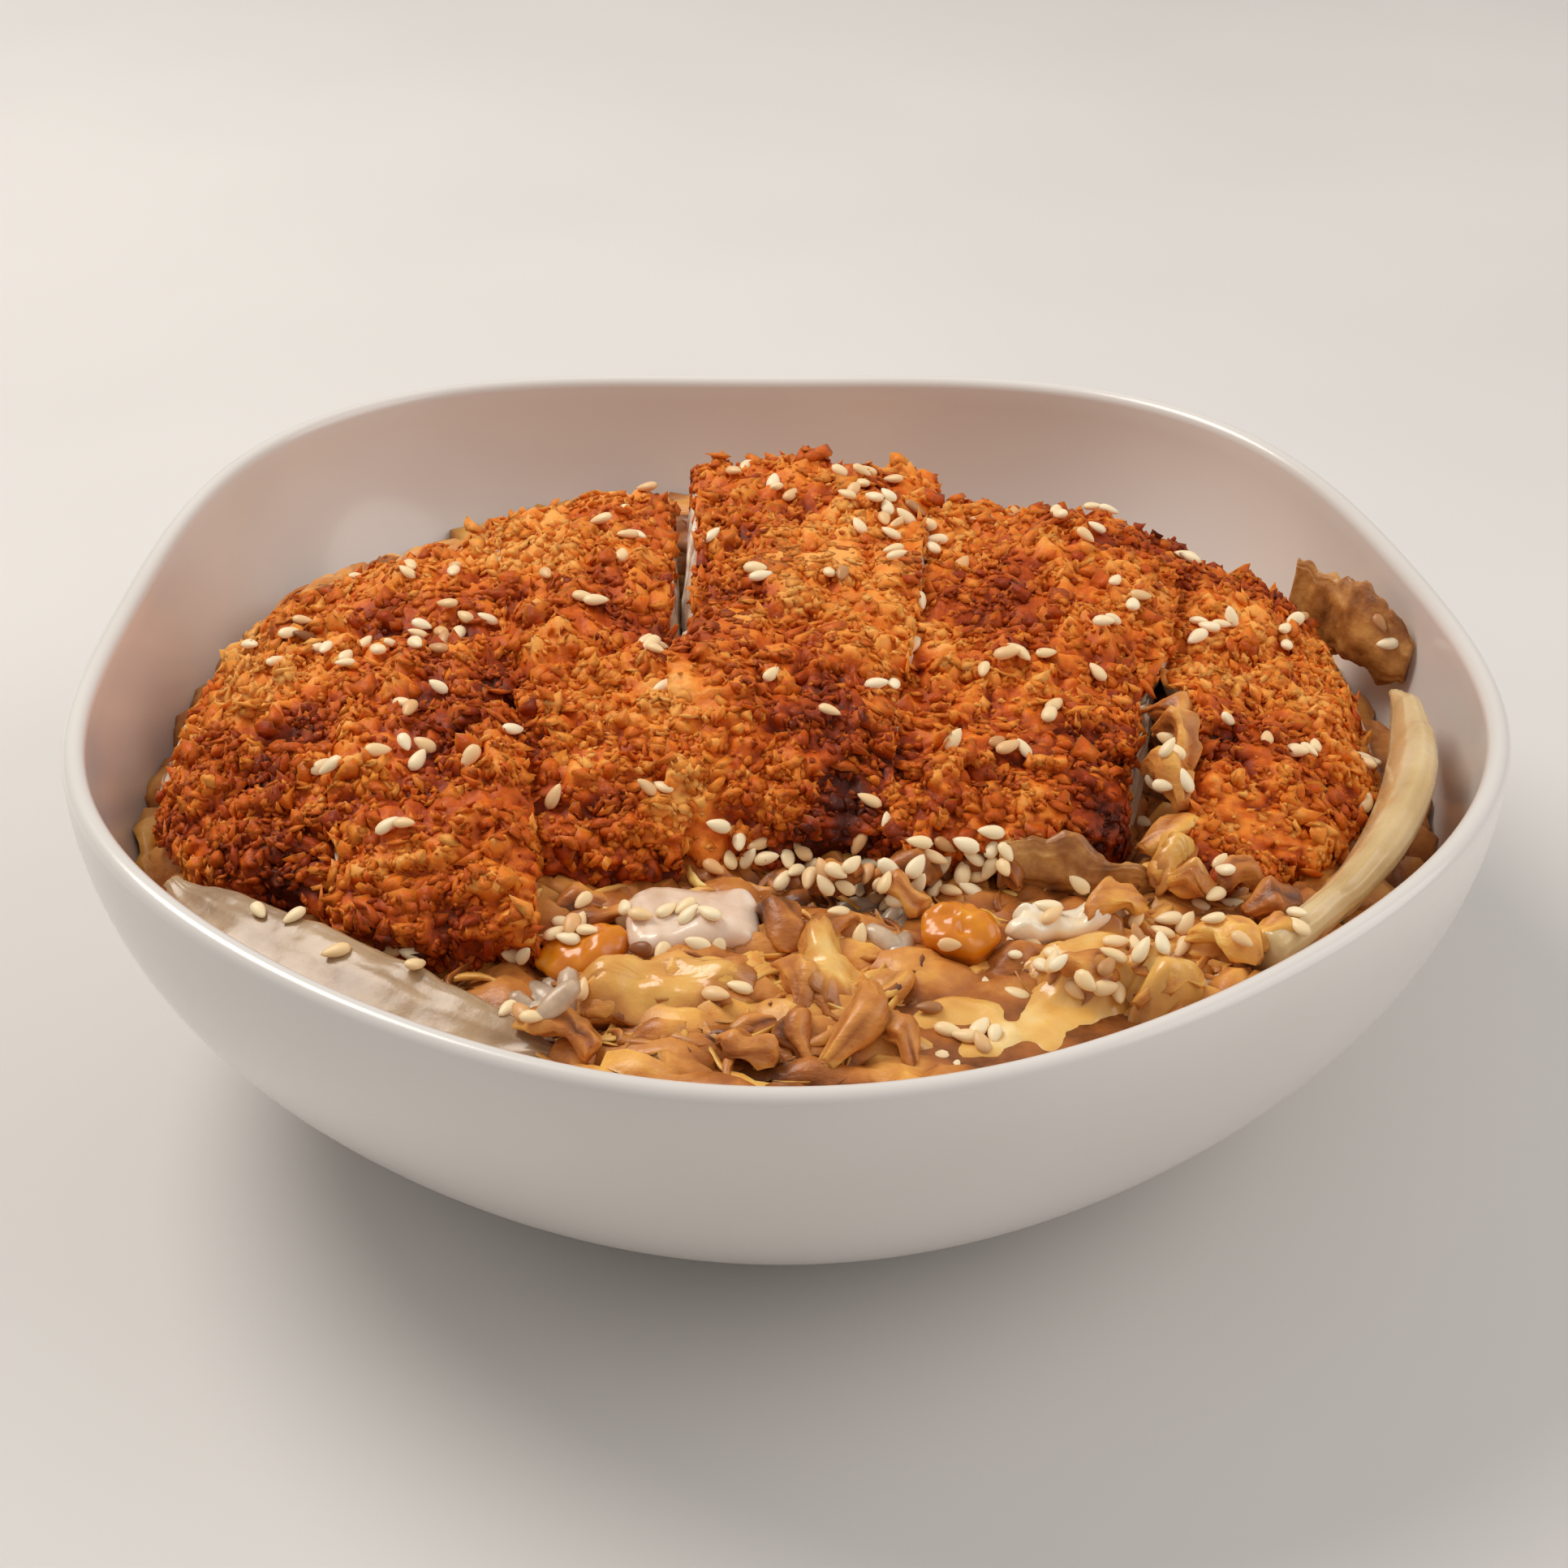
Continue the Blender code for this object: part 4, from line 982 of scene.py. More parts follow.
print("rice core has", len(rice_core.data.polygons), "faces")

# %% Rice grains


def oval_body(rows, sides, profile):
    """A small closed body along its first axis. profile gives a radius for each share."""
    verts = [(-1, 0, 0)]
    for row in range(1, rows):
        share = row / rows
        for k in range(sides):
            turn = 2 * math.pi * k / sides
            radius = profile(share)
            verts.append((2 * share - 1, radius * math.cos(turn), radius * math.sin(turn)))
    verts.append((1, 0, 0))
    faces = skin_faces(rows - 1, sides, start=1, close_ends=False)
    last = len(verts) - 1
    for k in range(sides):
        after = (k + 1) % sides
        faces.append((0, 1 + after, 1 + k))
        faces.append((last, last - sides + k, last - sides + after))
    return np.array(verts), faces


GRAINS_PER_GAP = 30
# Half a grain's length, width and thickness, in mm.
GRAIN_SIZE = (3.2, 1.45, 1.25)
# Where single grains can be told apart between the folds, in the photograph.
GRAIN_MARKS = (
    (1098, 1140), (1116, 1152), (1090, 1164), (1108, 1178), (1086, 1190), (1124, 1136), (1470, 1232),
    (1484, 1240), (702, 1228), (688, 1238),
)


def dress_rice():
    draw = np.random.default_rng(5)
    body, faces = oval_body(8, 10, lambda s: math.sin(math.pi * (0.06 + 0.88 * s)) ** 0.55)
    places, normals = [], []
    for wx, wy, wide, deep in RICE_WINDOWS:
        for k in range(GRAINS_PER_GAP):
            turn, out = draw.uniform(0, 2 * math.pi), math.sqrt(draw.uniform(0, 1))
            x = (wx + math.cos(turn) * out * wide) * MM
            y = (wy + math.sin(turn) * out * deep) * MM
            level = float(rice_top(np.array(x), np.array(y)))
            places.append((x, y, level + (0.3 + 1.1 * k / GRAINS_PER_GAP) * MM))
            normals.append((draw.normal(0, 0.3), draw.normal(0, 0.3), 1))
    for px, py in GRAIN_MARKS:
        hit = fold_tree.ray_cast(CAMERA_PLACE, picture_ray(px, py))[0]
        spot = on_bed(px, py)
        if hit is not None and hit.z > spot[2]:
            spot = np.array(hit)
        places.append(tuple(spot + [0, 0, 0.5 * MM]))
        normals.append((draw.normal(0, 0.3), -0.5, 1))
    count = len(places)
    axes = axes_from(np.array(normals), draw.uniform(0, 2 * math.pi, count), np.zeros(count))
    scale = draw.uniform(0.85, 1.1, (count, 1)) * np.array([GRAIN_SIZE]) * MM
    verts, faces = repeat_body(body, faces, places, axes, scale, 0.04, draw)
    settle(make_piece("rice_grains", verts, faces, [rice_white.material]), "steamed_rice")
    print(count, "grains of rice")


dress_rice()

# %% [markdown]
# ## The cutlet strips
#
# Each strip is a slab with a rounded, craggy crust and two cut faces of pale pork. The base form is
# the same rounded section as its solid, swept from one cut to the other. Slow noise swells it, and
# the absolute value of finer noise gives knobs with sharp creases between them, as crumb has. Where
# the knife left two strips touching, the crust of both leans over the cut, so no slot shows.

# %% Strip form
STATION_STEP = 0.6 * MM
RING_POINTS = 306
CAP_RINGS = 6
# How much of the gap at each cut the crust of both sides closes, at the front and at the back.
SEAM_CLOSING = ((0, 0), (1.0, 1.1), (1.1, 1.1), (1.2, 0.0), (1.1, 1.1), (-0.1, 1.2), (0, 0))
SEAM_TURNS = (0, 0, 0, -13, 0, -13)
# How far back the front's left and right corner of each strip is rounded, and how low its front
# hangs, in mm.
FRONT_CORNERS = ((0, -2.4), (2.6, 2.0), (0, 0.6), (0.4, 0.4), (0, 1.6), (1.2, 0))
FRONT_DROOP = (1.6, 2.4, 2.0, 0.8, 0.4, 0.6)
UNDERSIDE_POWER = 6.0
# Crags above this height are pressed down by this share of what stands above it.
TOP_OF_CRUST = 62.4 * MM
PRESSED_SHARE = 0.7


def same_bumps(spots, size, channel):
    """The slow noise that the solids use, so that both swell in the same places."""
    flat = (np.asarray(spots) / size + [0, 0, 17.3 * channel]).reshape(-1, 3)
    values = np.array([noise.noise(Vector(p)) for p in flat])
    return values.reshape(np.shape(spots)[:-1])


def seam_shift(number, y, share, upward):
    """How far the crust moves across the strip: a wavy knife cut, and the lean over it."""
    shift = np.zeros_like(y)
    for side, seam in ((-1, number), (1, number + 1)):
        if 0 < seam < len(STRIPS):
            front, back = SEAM_CLOSING[seam]
            turn = SEAM_TURNS[seam] * MM
            closing = front + (back - front) * ease(turn - 6 * MM, turn + 6 * MM, y)
            gap = (cut_x(seam, 0, y) - cut_x(seam - 1, 1, y)) / 2
            wave = 1.2 * MM * soft_noise(flat_points(y, 0 * y), 8 * MM, seam)
            near = np.clip(side * (2 * share - 1), 0, 1)
            lean = near**8 * side * gap * closing * ease(-0.6, 0.2, upward)
            shift = shift + lean + near**2 * wave
    return shift


def widest(number):
    """A strip's greatest width, in mm."""
    return max(STRIPS[number][2 + end] - STRIPS[number][end] for end in (0, 1))


def strip_rings(number):
    """The craggy rings of one strip, and how far each point stands out."""
    middle, length, thick, tilt = STRIPS[number][4:]
    share = np.linspace(0, 1, int(widest(number) * MM / STATION_STEP) + 2)
    if number == 0:
        share = share**1.5
    if number == len(STRIPS) - 1:
        share = 1 - (1 - share) ** 1.5
    share = share[:, None]
    turn = full_turn(RING_POINTS)[None]
    front_power = np.where(np.sin(turn) < 0, UNDERSIDE_POWER, FRONT_POWER)
    power = 2 / np.where(np.cos(turn) > 0, BACK_POWER, front_power)
    along, upward = squared_off(np.cos(turn), power), squared_off(np.sin(turn), power)
    y = middle * MM + CUTLET_HALF_DEPTH * length * along
    x = (1 - share) * cut_x(number, 0, y) + share * cut_x(number, 1, y)
    y = middle * MM + half_depth(x) * length * along
    rise = WAIST + upward * np.where(upward > 0, 1 - WAIST, WAIST)
    spots = np.stack([x, y, thickness(x) * thick * rise], axis=-1)
    swell = SWELL * same_bumps(spots, 17 * MM, 3)
    knobs = np.abs(rough_noise(spots, 4.2 * MM, 2, number + 20))
    crumbs = np.abs(rough_noise(spots, 1.8 * MM, 2, number + 40))
    crag = (1.4 * rough_noise(spots, 8 * MM, 2, number) + 2.4 * knobs + 1.3 * crumbs - 1.4) * MM
    out = np.stack([0 * x, along + 0 * x, np.maximum(upward, -0.15) + 0 * x], axis=-1)
    out /= np.maximum(np.linalg.norm(out, axis=-1, keepdims=True), 0.4)
    spots = spots + out * crag[..., None]
    spots[..., 0] += seam_shift(number, y, share, upward)
    left, right = FRONT_CORNERS[number]
    corners = left * np.clip(1 - 2.2 * share, 0, 1) ** 1.6
    corners = corners + right * np.clip(2.2 * share - 1.2, 0, 1) ** 1.6
    spots[..., 1] += 1.3 * along * swell + corners * MM * ease(0.3, 0.9, -along)
    edge_drop = 1.2 * MM * (2 * share - 1) ** 6
    spots[..., 2] += np.maximum(upward, 0) * (1.4 * swell + (share - 0.5) * tilt * MM - edge_drop)
    spots[..., 2] += EGG_LEVEL - FALL_AT_SIDES * (spots[..., 0] / FALL_WIDTH) ** 2 + CLEARANCE
    droop = FRONT_DROOP[number] * MM * ease(0.55, 1.0, -along)
    spots[..., 2] = np.maximum(spots[..., 2], egg_top(spots[..., 0], spots[..., 1])) - droop
    return spots, crag + 0.6 * swell


def fried_and_shade(spots):
    """How much darker a place is than most: slow patches of frying, painted shade low at the front of
    the cutlet, and lighter towards the back of the left strips.
    """
    # Painted shade: low places at the front of the cutlet are darker.
    low = ease(12 * MM, 3 * MM, spots[..., 2] - EGG_LEVEL) * ease(-10 * MM, -30 * MM, spots[..., 1])
    patches = 0.30 * soft_noise(spots, 15 * MM, 31.0) + 0.22 * soft_noise(spots, 6 * MM, 32.0)
    fringe = ease(2 * MM, 12 * MM, spots[..., 1]) * ease(-24 * MM, -34 * MM, spots[..., 0])
    return patches + 0.16 * low - 0.16 * fringe


def kept_low(verts):
    """Presses the crags above the solids' top down, so that the dish keeps its height."""
    pressed = np.array(verts)
    pressed[:, 2] -= PRESSED_SHARE * np.maximum(pressed[:, 2] - TOP_OF_CRUST, 0)
    return pressed


def make_strip(number):
    """The crust and the two cut faces of one strip: points, faces, finish of each face, and toast,
    which also holds painted shade.
    """
    spots, crag = strip_rings(number)
    rows = len(spots)
    verts = [spots.reshape(-1, 3)]
    # Painted shade: the deeper a point lies among the crags the darker it is, and swells are lighter.
    toast_and_shade = [(0.44 - 0.15 * crag / MM + fried_and_shade(spots)).ravel()]
    faces = skin_faces(rows, RING_POINTS, close_ends=False)
    slots = [0] * len(faces)
    total = rows * RING_POINTS
    for side, row in ((-1, 0), (1, rows - 1)):
        ring = spots[row]
        centre = ring.mean(axis=0)
        before = row * RING_POINTS
        for k in range(1, CAP_RINGS + 1):
            inner = centre + (ring - centre) * (1 - k / (CAP_RINGS + 0.4)) ** 0.8
            bulge = 0.9 * math.sin(math.pi / 2 * k / CAP_RINGS) + 0.4 * rough_noise(inner, 4 * MM, 2, 4.0)
            inner = inner + flat_points(side * bulge * MM * (k > 1), 0 * bulge)
            verts.append(inner)
            toast_and_shade.append(np.full(RING_POINTS, 0.35))
            for j in range(RING_POINTS):
                after = (j + 1) % RING_POINTS
                quad = (before + j, before + after, total + after, total + j)
                faces.append(quad if side > 0 else quad[::-1])
                # The crust turns in over the edge of the cut.
                slots.append(0 if k < 2 else 1)
            before = total
            total += RING_POINTS
        last = tuple(range(before, before + RING_POINTS))
        faces.append(last if side > 0 else last[::-1])
        slots.append(1)
    return np.concatenate(verts), faces, slots, np.concatenate(toast_and_shade)


print("strip sections every", STATION_STEP / MM, "mm")

# %% [markdown]
# ### Panko flakes
#
# On the base go thousands of small jagged chips: they, more than the base, make panko look like
# panko, because light catches their edges. They come in all sizes, most about 1.6 mm and a few over
# 4 mm, thicker in patches, and each fried to its own shade, with painted shade on those low at the
# front of the cutlet.

# %% Panko flakes
# Chips for each square mm, and about how far it is round a strip over its top, in mm.
FLAKE_DENSITY = 1.12
SKIN_LENGTH = 105
# Half a usual chip's length, and the most that half may be, in mm.
HALF_CHIP, LARGEST_HALF = 0.86, 2.3


def chip_body(points=7):
    """A jagged chip: a ragged rim between two blunt sides."""
    rim = [(math.cos(t), math.sin(t), 0.3 * math.sin(3 * t)) for t in full_turn(points)]
    verts = np.array([(0.15, 0, 1.0), *rim, (-0.1, 0.1, -1.0)])
    verts[1 : points + 1 : 2] *= [0.74, 0.74, 1]
    faces = [(0, 1 + k, 1 + (k + 1) % points) for k in range(points)]
    faces += [(points + 1, 1 + (k + 1) % points, 1 + k) for k in range(points)]
    return verts, faces


def add_flakes(number, verts, faces, slots, toast_and_shade):
    """Covers a strip's crust with chips, thicker in patches."""
    draw = np.random.default_rng(100 + number)
    crusty = [f for f, s in zip(faces, slots) if s == 0 and len(f) < 5]

    def patchy(spots, normals):
        wealth = 0.35 + 1.1 * np.clip(0.5 + soft_noise(spots, 4 * MM, number + 3.0), 0, 1)
        return wealth * (normals[:, 2] > -0.5)

    count = int(widest(number) * SKIN_LENGTH * FLAKE_DENSITY)
    spots, normals = scatter_places(verts, crusty, count, draw, patchy)
    length = np.minimum(np.exp(draw.normal(-0.05, 0.48, count)) * HALF_CHIP, LARGEST_HALF)
    thin = draw.uniform(0.2, 0.5, count) * np.sqrt(length)
    sizes = np.stack([length, length * draw.uniform(0.5, 1.0, count), thin], -1) * MM
    axes = axes_from(normals, draw.uniform(0, 2 * math.pi, count), draw.normal(0, 0.4, count))
    body, body_faces = chip_body()
    spots = spots + normals * (0.06 * length * MM)[:, None]
    more, more_faces = repeat_body(body, body_faces, spots, axes, sizes, 0.26, draw)
    # A chip's own fried colour at random, with painted shade on chips low at the front of the cutlet.
    chip_toast_and_shade = 0.415 + 0.10 * draw.standard_normal(count) + fried_and_shade(spots)
    more_faces = [[len(verts) + k for k in f] for f in more_faces]
    more_toast_and_shade = np.repeat(np.clip(chip_toast_and_shade, 0.0, 1.0), len(body))
    slots = slots + [0] * len(more_faces)
    return np.concatenate([verts, more]), faces + more_faces, slots, np.concatenate([toast_and_shade, more_toast_and_shade])


strip_trees = []
for number in range(len(STRIPS)):
    verts, faces, slots, toast_and_shade = make_strip(number)
    verts = kept_low(verts)
    strip_trees.append(BVHTree.FromPolygons([Vector(v) for v in verts], faces))
    verts, faces, slots, toast_and_shade = add_flakes(number, verts, faces, slots, toast_and_shade)
    finishes = [crust.material, pork.material]
    marks = {"toast_and_shade": toast_and_shade}
    strip = make_piece(f"strip_{number + 1}", kept_low(verts), faces, finishes, marks, slots)
    settle(strip, "panko_crust", f"cutlet_strip_{number + 1}")
    print(strip.name, "has", len(strip.data.polygons), "faces")

# %% [markdown]
# ## Onion and brown flakes
#
# The pieces that can be told apart keep their own meshes. Onion petals and the flakes that stand on
# edge are ribbons: a path with a section that widens and narrows. Onion has fine lines along its
# length, so a value that changes only round the section is painted on its points, and drives its
# colour. The petal at the left is beige and glassy, the slice at the right is yellower.

# %% Ribbons
RIBBON_POINTS = 48


def ribbon(path, half_width, half_height, tilt, groove=0.0, ruffle=0.0, seed=1, ragged=0.0):
    """Rings along a path. The section is a soft rectangle that leans by the tilt."""
    count = len(path)
    rings = []
    for k in range(count):
        share = k / (count - 1)
        before, after = path[max(k - 1, 0)], path[min(k + 1, count - 1)]
        run = np.array([after[0] - before[0], after[1] - before[1], 0])
        run /= np.linalg.norm(run)
        across = np.array([run[1], -run[0], math.tan(tilt)])
        across /= np.linalg.norm(across)
        rise = np.cross(run, across)
        rise = rise if rise[2] > 0 else -rise
        turn = full_turn(RIBBON_POINTS)
        torn = 1 + ragged * float(rough_noise(np.array([[9 * share, seed, 0.0]]), 1.0, 3)[0])
        out = squared_off(np.cos(turn), 0.8) * half_width(share)
        up = squared_off(np.sin(turn), 0.8) * half_height(share) * torn
        lines = groove * np.cos(turn * 14) + 0.6 * groove * np.cos(turn * 9 + 2)
        ring = path[k] + across * (out + lines * np.sign(out) * 0.5)[:, None]
        rings.append(ring + rise * (up + lines * np.sign(up))[:, None])
    flat = np.array(rings).reshape(-1, 3)
    wave = rough_noise(flat, 6 * MM, 3, seed) * ruffle
    return flat + np.stack([0.4 * wave, 0.4 * wave, wave], -1)


def taper(low, high, start=0.0, end=0.0):
    """Rises from low to high in the middle of a ribbon. start and end keep an end wide."""

    def half_size(s):
        swell = high * math.sin(math.pi * min(max(s, 0), 1)) ** 0.55
        return max(swell, low, start * (1 - s), end * s) * MM

    return half_size


def rest_on_egg(verts):
    """Lifts points to the plain level of the egg, as in the solids."""
    out = np.array(verts)
    out[:, 2] = np.maximum(out[:, 2], egg_top(out[:, 0], out[:, 1]) - 0.3 * MM)
    return out


def dress_ribbon(name, node, slot, path, wide, tall, tilt, finish, **more):
    path = np.array(path) * MM
    verts = keep_off_wall(rest_on_egg(ribbon(path, wide, tall, tilt, **more)))
    turns = np.tile(np.arange(RIBBON_POINTS), len(path)) / RIBBON_POINTS
    strokes = soft_noise(flat_points(turns, 0 * turns), 0.035, 2.0)
    slow = rough_noise(verts, 9 * MM, 2, 5.0)
    marks = {"lines": 0.52 + 0.20 * strokes + 0.14 * slow}
    faces = skin_faces(len(path), RIBBON_POINTS)
    piece = make_piece(name, verts, faces, [finish.material], marks)
    settle(piece, slot, node)
    return piece


def arc_path(first, last, radius, height, count=70):
    """A path along the wall, in mm. radius and height are rules of the share along it."""
    path = []
    for s in np.linspace(0, 1, count):
        angle = math.radians(first + (last - first) * s)
        path.append(at_angle(angle, radius(s) * MM, height(s) * MM) / MM)
    return path


left_path = arc_path(213, 254, lambda s: 85.2 - 0.8 * math.sin(math.pi * s), lambda s: 44.4 + 0.8 * s)
right_path = arc_path(-2, -50, lambda s: 81.8 + 3.2 * s, lambda s: 46.5 + 0.5 * math.sin(3.1 * s))
back_path = []
for s in np.linspace(0, 1, 60):
    wave = 0.8 * math.sin(7 * s)
    back_path.append((71.0 + 13.5 * s + wave, 29.0 - 17.5 * s + wave, 46.5 - 0.8 * s))
front_path = []
for s in np.linspace(0, 1, 60):
    front_path.append((24.5 + 20 * s, -48.4 + 0.5 * math.sin(8 * s), 49.2 - 0.9 * s))
ribbons = [
    dress_ribbon(
        "onion_left_petal", "onion_left", "cooked_onion", left_path, taper(1.2, 6.2), taper(0.8, 1.7), -0.42,
        onion, groove=0.05 * MM, ruffle=0.4 * MM, seed=2,
    ),
    dress_ribbon(
        "onion_right_slice", "onion_right", "cooked_onion", right_path, taper(1.0, 2.7, end=2.4),
        taper(0.7, 4.6, end=3.6), 0.5, onion_sweet, groove=0.05 * MM, ruffle=0.5 * MM, seed=3,
    ),
    dress_ribbon(
        "flake_back", "brown_flake_back", "brown_flake", back_path, taper(0.7, 1.2),
        taper(3.0, 5.6, start=4.2), 0.25, flake, groove=0.1 * MM, ruffle=1.7 * MM, seed=4, ragged=0.24,
    ),
    dress_ribbon(
        "flake_front", "brown_flake_front", "brown_flake", front_path, taper(0.7, 1.2),
        taper(1.4, 3.6, start=2.4), 0.2, flake, groove=0.1 * MM, ruffle=1.7 * MM, seed=5, ragged=0.24,
    ),
]
print("ribbons:", ", ".join(r.name for r in ribbons))

# %% [markdown]
# ## Yolk, white, onion chunk and the sheet of soft egg
#
# Each is a soft mound with a wavy outline. Set yolk is glossy and orange, the white is torn and
# bright, and the chunk of onion is pearly. Half-set egg is thin: it runs over whatever lies below, so
# its film is a disc with a ragged outline whose points are dropped on the other pieces.

# %% Soft lumps
# Each is its finish, slot, how wavy it is, and its corners: 1 for an oval, less for a square.
LUMP_LOOKS = {
    "egg_yolk_left": (yolk, "egg_yolk", 0.5, 1.0),
    "egg_yolk_right": (yolk, "egg_yolk", 0.7, 1.0),
    "egg_white": (white, "egg_white", 1.1, 1.0),
    "onion_chunk": (pearl, "cooked_onion", 0.24, 0.42),
}


def dress_lump(name, middle, size, turn, height, rows=30, sides=72):
    """A mound on the egg bed, in rings from its hidden underside to its crown."""
    finish, slot, wobble, corners = LUMP_LOOKS[name]
    heading = math.radians(turn)
    angles = full_turn(sides)
    outline = np.stack([np.cos(angles), np.sin(angles), np.full(sides, middle[0] * 0.1)], -1)
    waves = 1 + 0.22 * wobble * rough_noise(outline, 0.6, 2, 2.0)
    rings = []
    for row in range(rows):
        arc = math.pi * (row + 0.5) / rows
        out = math.sin(arc) ** (0.45 if finish is pearl else 0.8) * waves
        rise = -0.3 if row < rows * 0.3 else (0.5 - 0.5 * math.cos(arc)) ** 0.7
        across = squared_off(np.cos(angles), corners) * size[0] * out
        along = squared_off(np.sin(angles), corners) * size[1] * out
        x = (middle[0] + across * math.cos(heading) - along * math.sin(heading)) * MM
        y = (middle[1] + across * math.sin(heading) + along * math.cos(heading)) * MM
        flat = np.stack([x, y, egg_top(x, y) + CLEARANCE], -1)
        crown = 1 + 0.5 * wobble * rough_noise(flat, 4.5 * MM, 3, 3.0)
        flat[:, 2] += rise * height * MM * crown
        rings.append(flat)
    verts = keep_off_wall(np.concatenate(rings))
    if finish is pearl:
        lines = 0.62 + 0.24 * rough_noise(verts * [2.4, 0.5, 0.8], 3 * MM, 2, 4.0)
    else:
        above = (verts[:, 2] - egg_top(verts[:, 0], verts[:, 1])) / (height * MM)
        crown = 0.44 if finish is yolk else 0.62
        lines = 0.12 + crown * ease(0.1, 0.8, above) + 0.22 * rough_noise(verts, 3 * MM, 2, 4.0)
    faces = skin_faces(rows, sides)
    piece = make_piece(f"{name}_piece", verts, faces, [finish.material], {"lines": lines})
    settle(piece, slot, name)
    return piece


# The chunk of onion shows a little more of its front than its solid, which has to clear the folds.
SHOWN = {"onion_chunk": ((-10.6, -58.8), (7.7, 5.3), 6, 5.2)}
lumps = []
for name, *form in LUMPS:
    if name in LUMP_LOOKS:
        lumps.append(dress_lump(name, *SHOWN.get(name, form)))
print("lumps:", ", ".join(p.name for p in lumps))

# %% Films of half-set egg
# Each is its finish, middle, half sizes and thickness in mm, turn in degrees, and how ragged it is.
FILMS = (
    ("egg_sheet", cream, (24.6, -75.6), (13.4, 8.8), 1.6, 12, 0.12),
    ("film_at_white", egg_skin, (30.0, -62.5), (12.0, 6.0), 0.7, 14, 0.2),
    ("film_at_left", egg_skin, (-15.0, -71.0), (11.0, 4.6), 0.8, -4, 0.2),
    ("film_at_column", egg_skin, (5.0, -68.0), (4.0, 7.0), 0.7, 8, 0.2),
    ("film_at_cut", egg_skin, (47.0, -48.0), (4.6, 4.2), 1.0, 30, 0.2),
    ("film_at_right", egg_skin, (41.0, -68.5), (8.5, 4.6), 0.8, 24, 0.2),
)
FILM_ROWS, FILM_SIDES = 18, 66
SMOOTHINGS = 9
# A film lies on the bed, its folds and the last lump.
under_films = [bed_tree, fold_tree, piece_tree(lumps[-1])]


def top_of_food(x, y):
    """The highest thing below a place, but never lower than the plain egg."""
    return max(height_from_above(under_films, x, y) + [plain_level(x, y)])


def film_form(middle, size, thick, turn, ragged):
    """A draped disc with a ragged outline: rings of its underside going out, then of its top."""
    rows, sides = FILM_ROWS, FILM_SIDES
    heading = math.radians(turn)
    angles = full_turn(sides)
    outline = np.stack([np.cos(angles), np.sin(angles), np.full(sides, middle[0])], -1)
    torn = rough_noise(outline, 0.7, 2, 2.0) + 0.5 * rough_noise(outline, 0.16, 2, 5.0)
    waves = 1 + ragged * torn
    shares = np.linspace(0.03, 1, rows)[:, None]
    across = np.cos(angles) * size[0] * waves * shares
    along = np.sin(angles) * size[1] * waves * shares
    x = (middle[0] + across * math.cos(heading) - along * math.sin(heading)) * MM
    y = (middle[1] + across * math.sin(heading) + along * math.cos(heading)) * MM
    spots = keep_off_wall(np.stack([x, y, 0 * x + 46 * MM], -1).reshape(-1, 3))
    low = np.array([top_of_food(*spot[:2]) for spot in spots]).reshape(rows, sides)
    inside = spots.reshape(rows, sides, 3)
    for _ in range(SMOOTHINGS):
        around = (np.roll(low, 1, 1) + np.roll(low, -1, 1)) / 2
        inward = np.vstack([low[:1], low[:-1]])
        outward = np.vstack([low[1:], low[-1:]])
        low = np.maximum(0.35 * low + 0.35 * around + 0.15 * (inward + outward), low - 1.2 * MM)
    ripple = 1 + 0.5 * rough_noise(inside, 3.5 * MM, 2, 3.0)
    top = low + thick * MM * (1 - shares**4) * ripple
    under = np.stack([inside[..., 0], inside[..., 1], low - 0.3 * MM], -1)
    over = np.stack([inside[..., 0], inside[..., 1], top], -1)
    pale = np.repeat(0.70 - 0.54 * shares**2, sides, axis=1)
    pale = pale + 0.24 * rough_noise(inside, 3.5 * MM, 2, 4.0)
    verts = np.concatenate([under.reshape(-1, 3), over[::-1].reshape(-1, 3)])
    return verts, np.concatenate([pale.ravel(), pale[::-1].ravel()])


film_faces = skin_faces(2 * FILM_ROWS, FILM_SIDES)
films = []
for name, finish, *form in FILMS:
    verts, pale = film_form(*form)
    film = make_piece(f"{name}_piece", verts, film_faces, [finish.material], {"lines": pale})
    settle(film, "soft_egg", *([name] if name == "egg_sheet" else []))
    films.append(film)
print("films:", ", ".join(f.name for f in films))

# %% [markdown]
# ## Sesame seeds
#
# Toasted sesame lies over everything, thickest on the strips' backs and along the front of the
# cutlet. A seed is a flattened drop, 3.3 mm long. Groups of them are given by a place in the picture
# and how far they spread, and each seed lands on whatever the ray meets first.

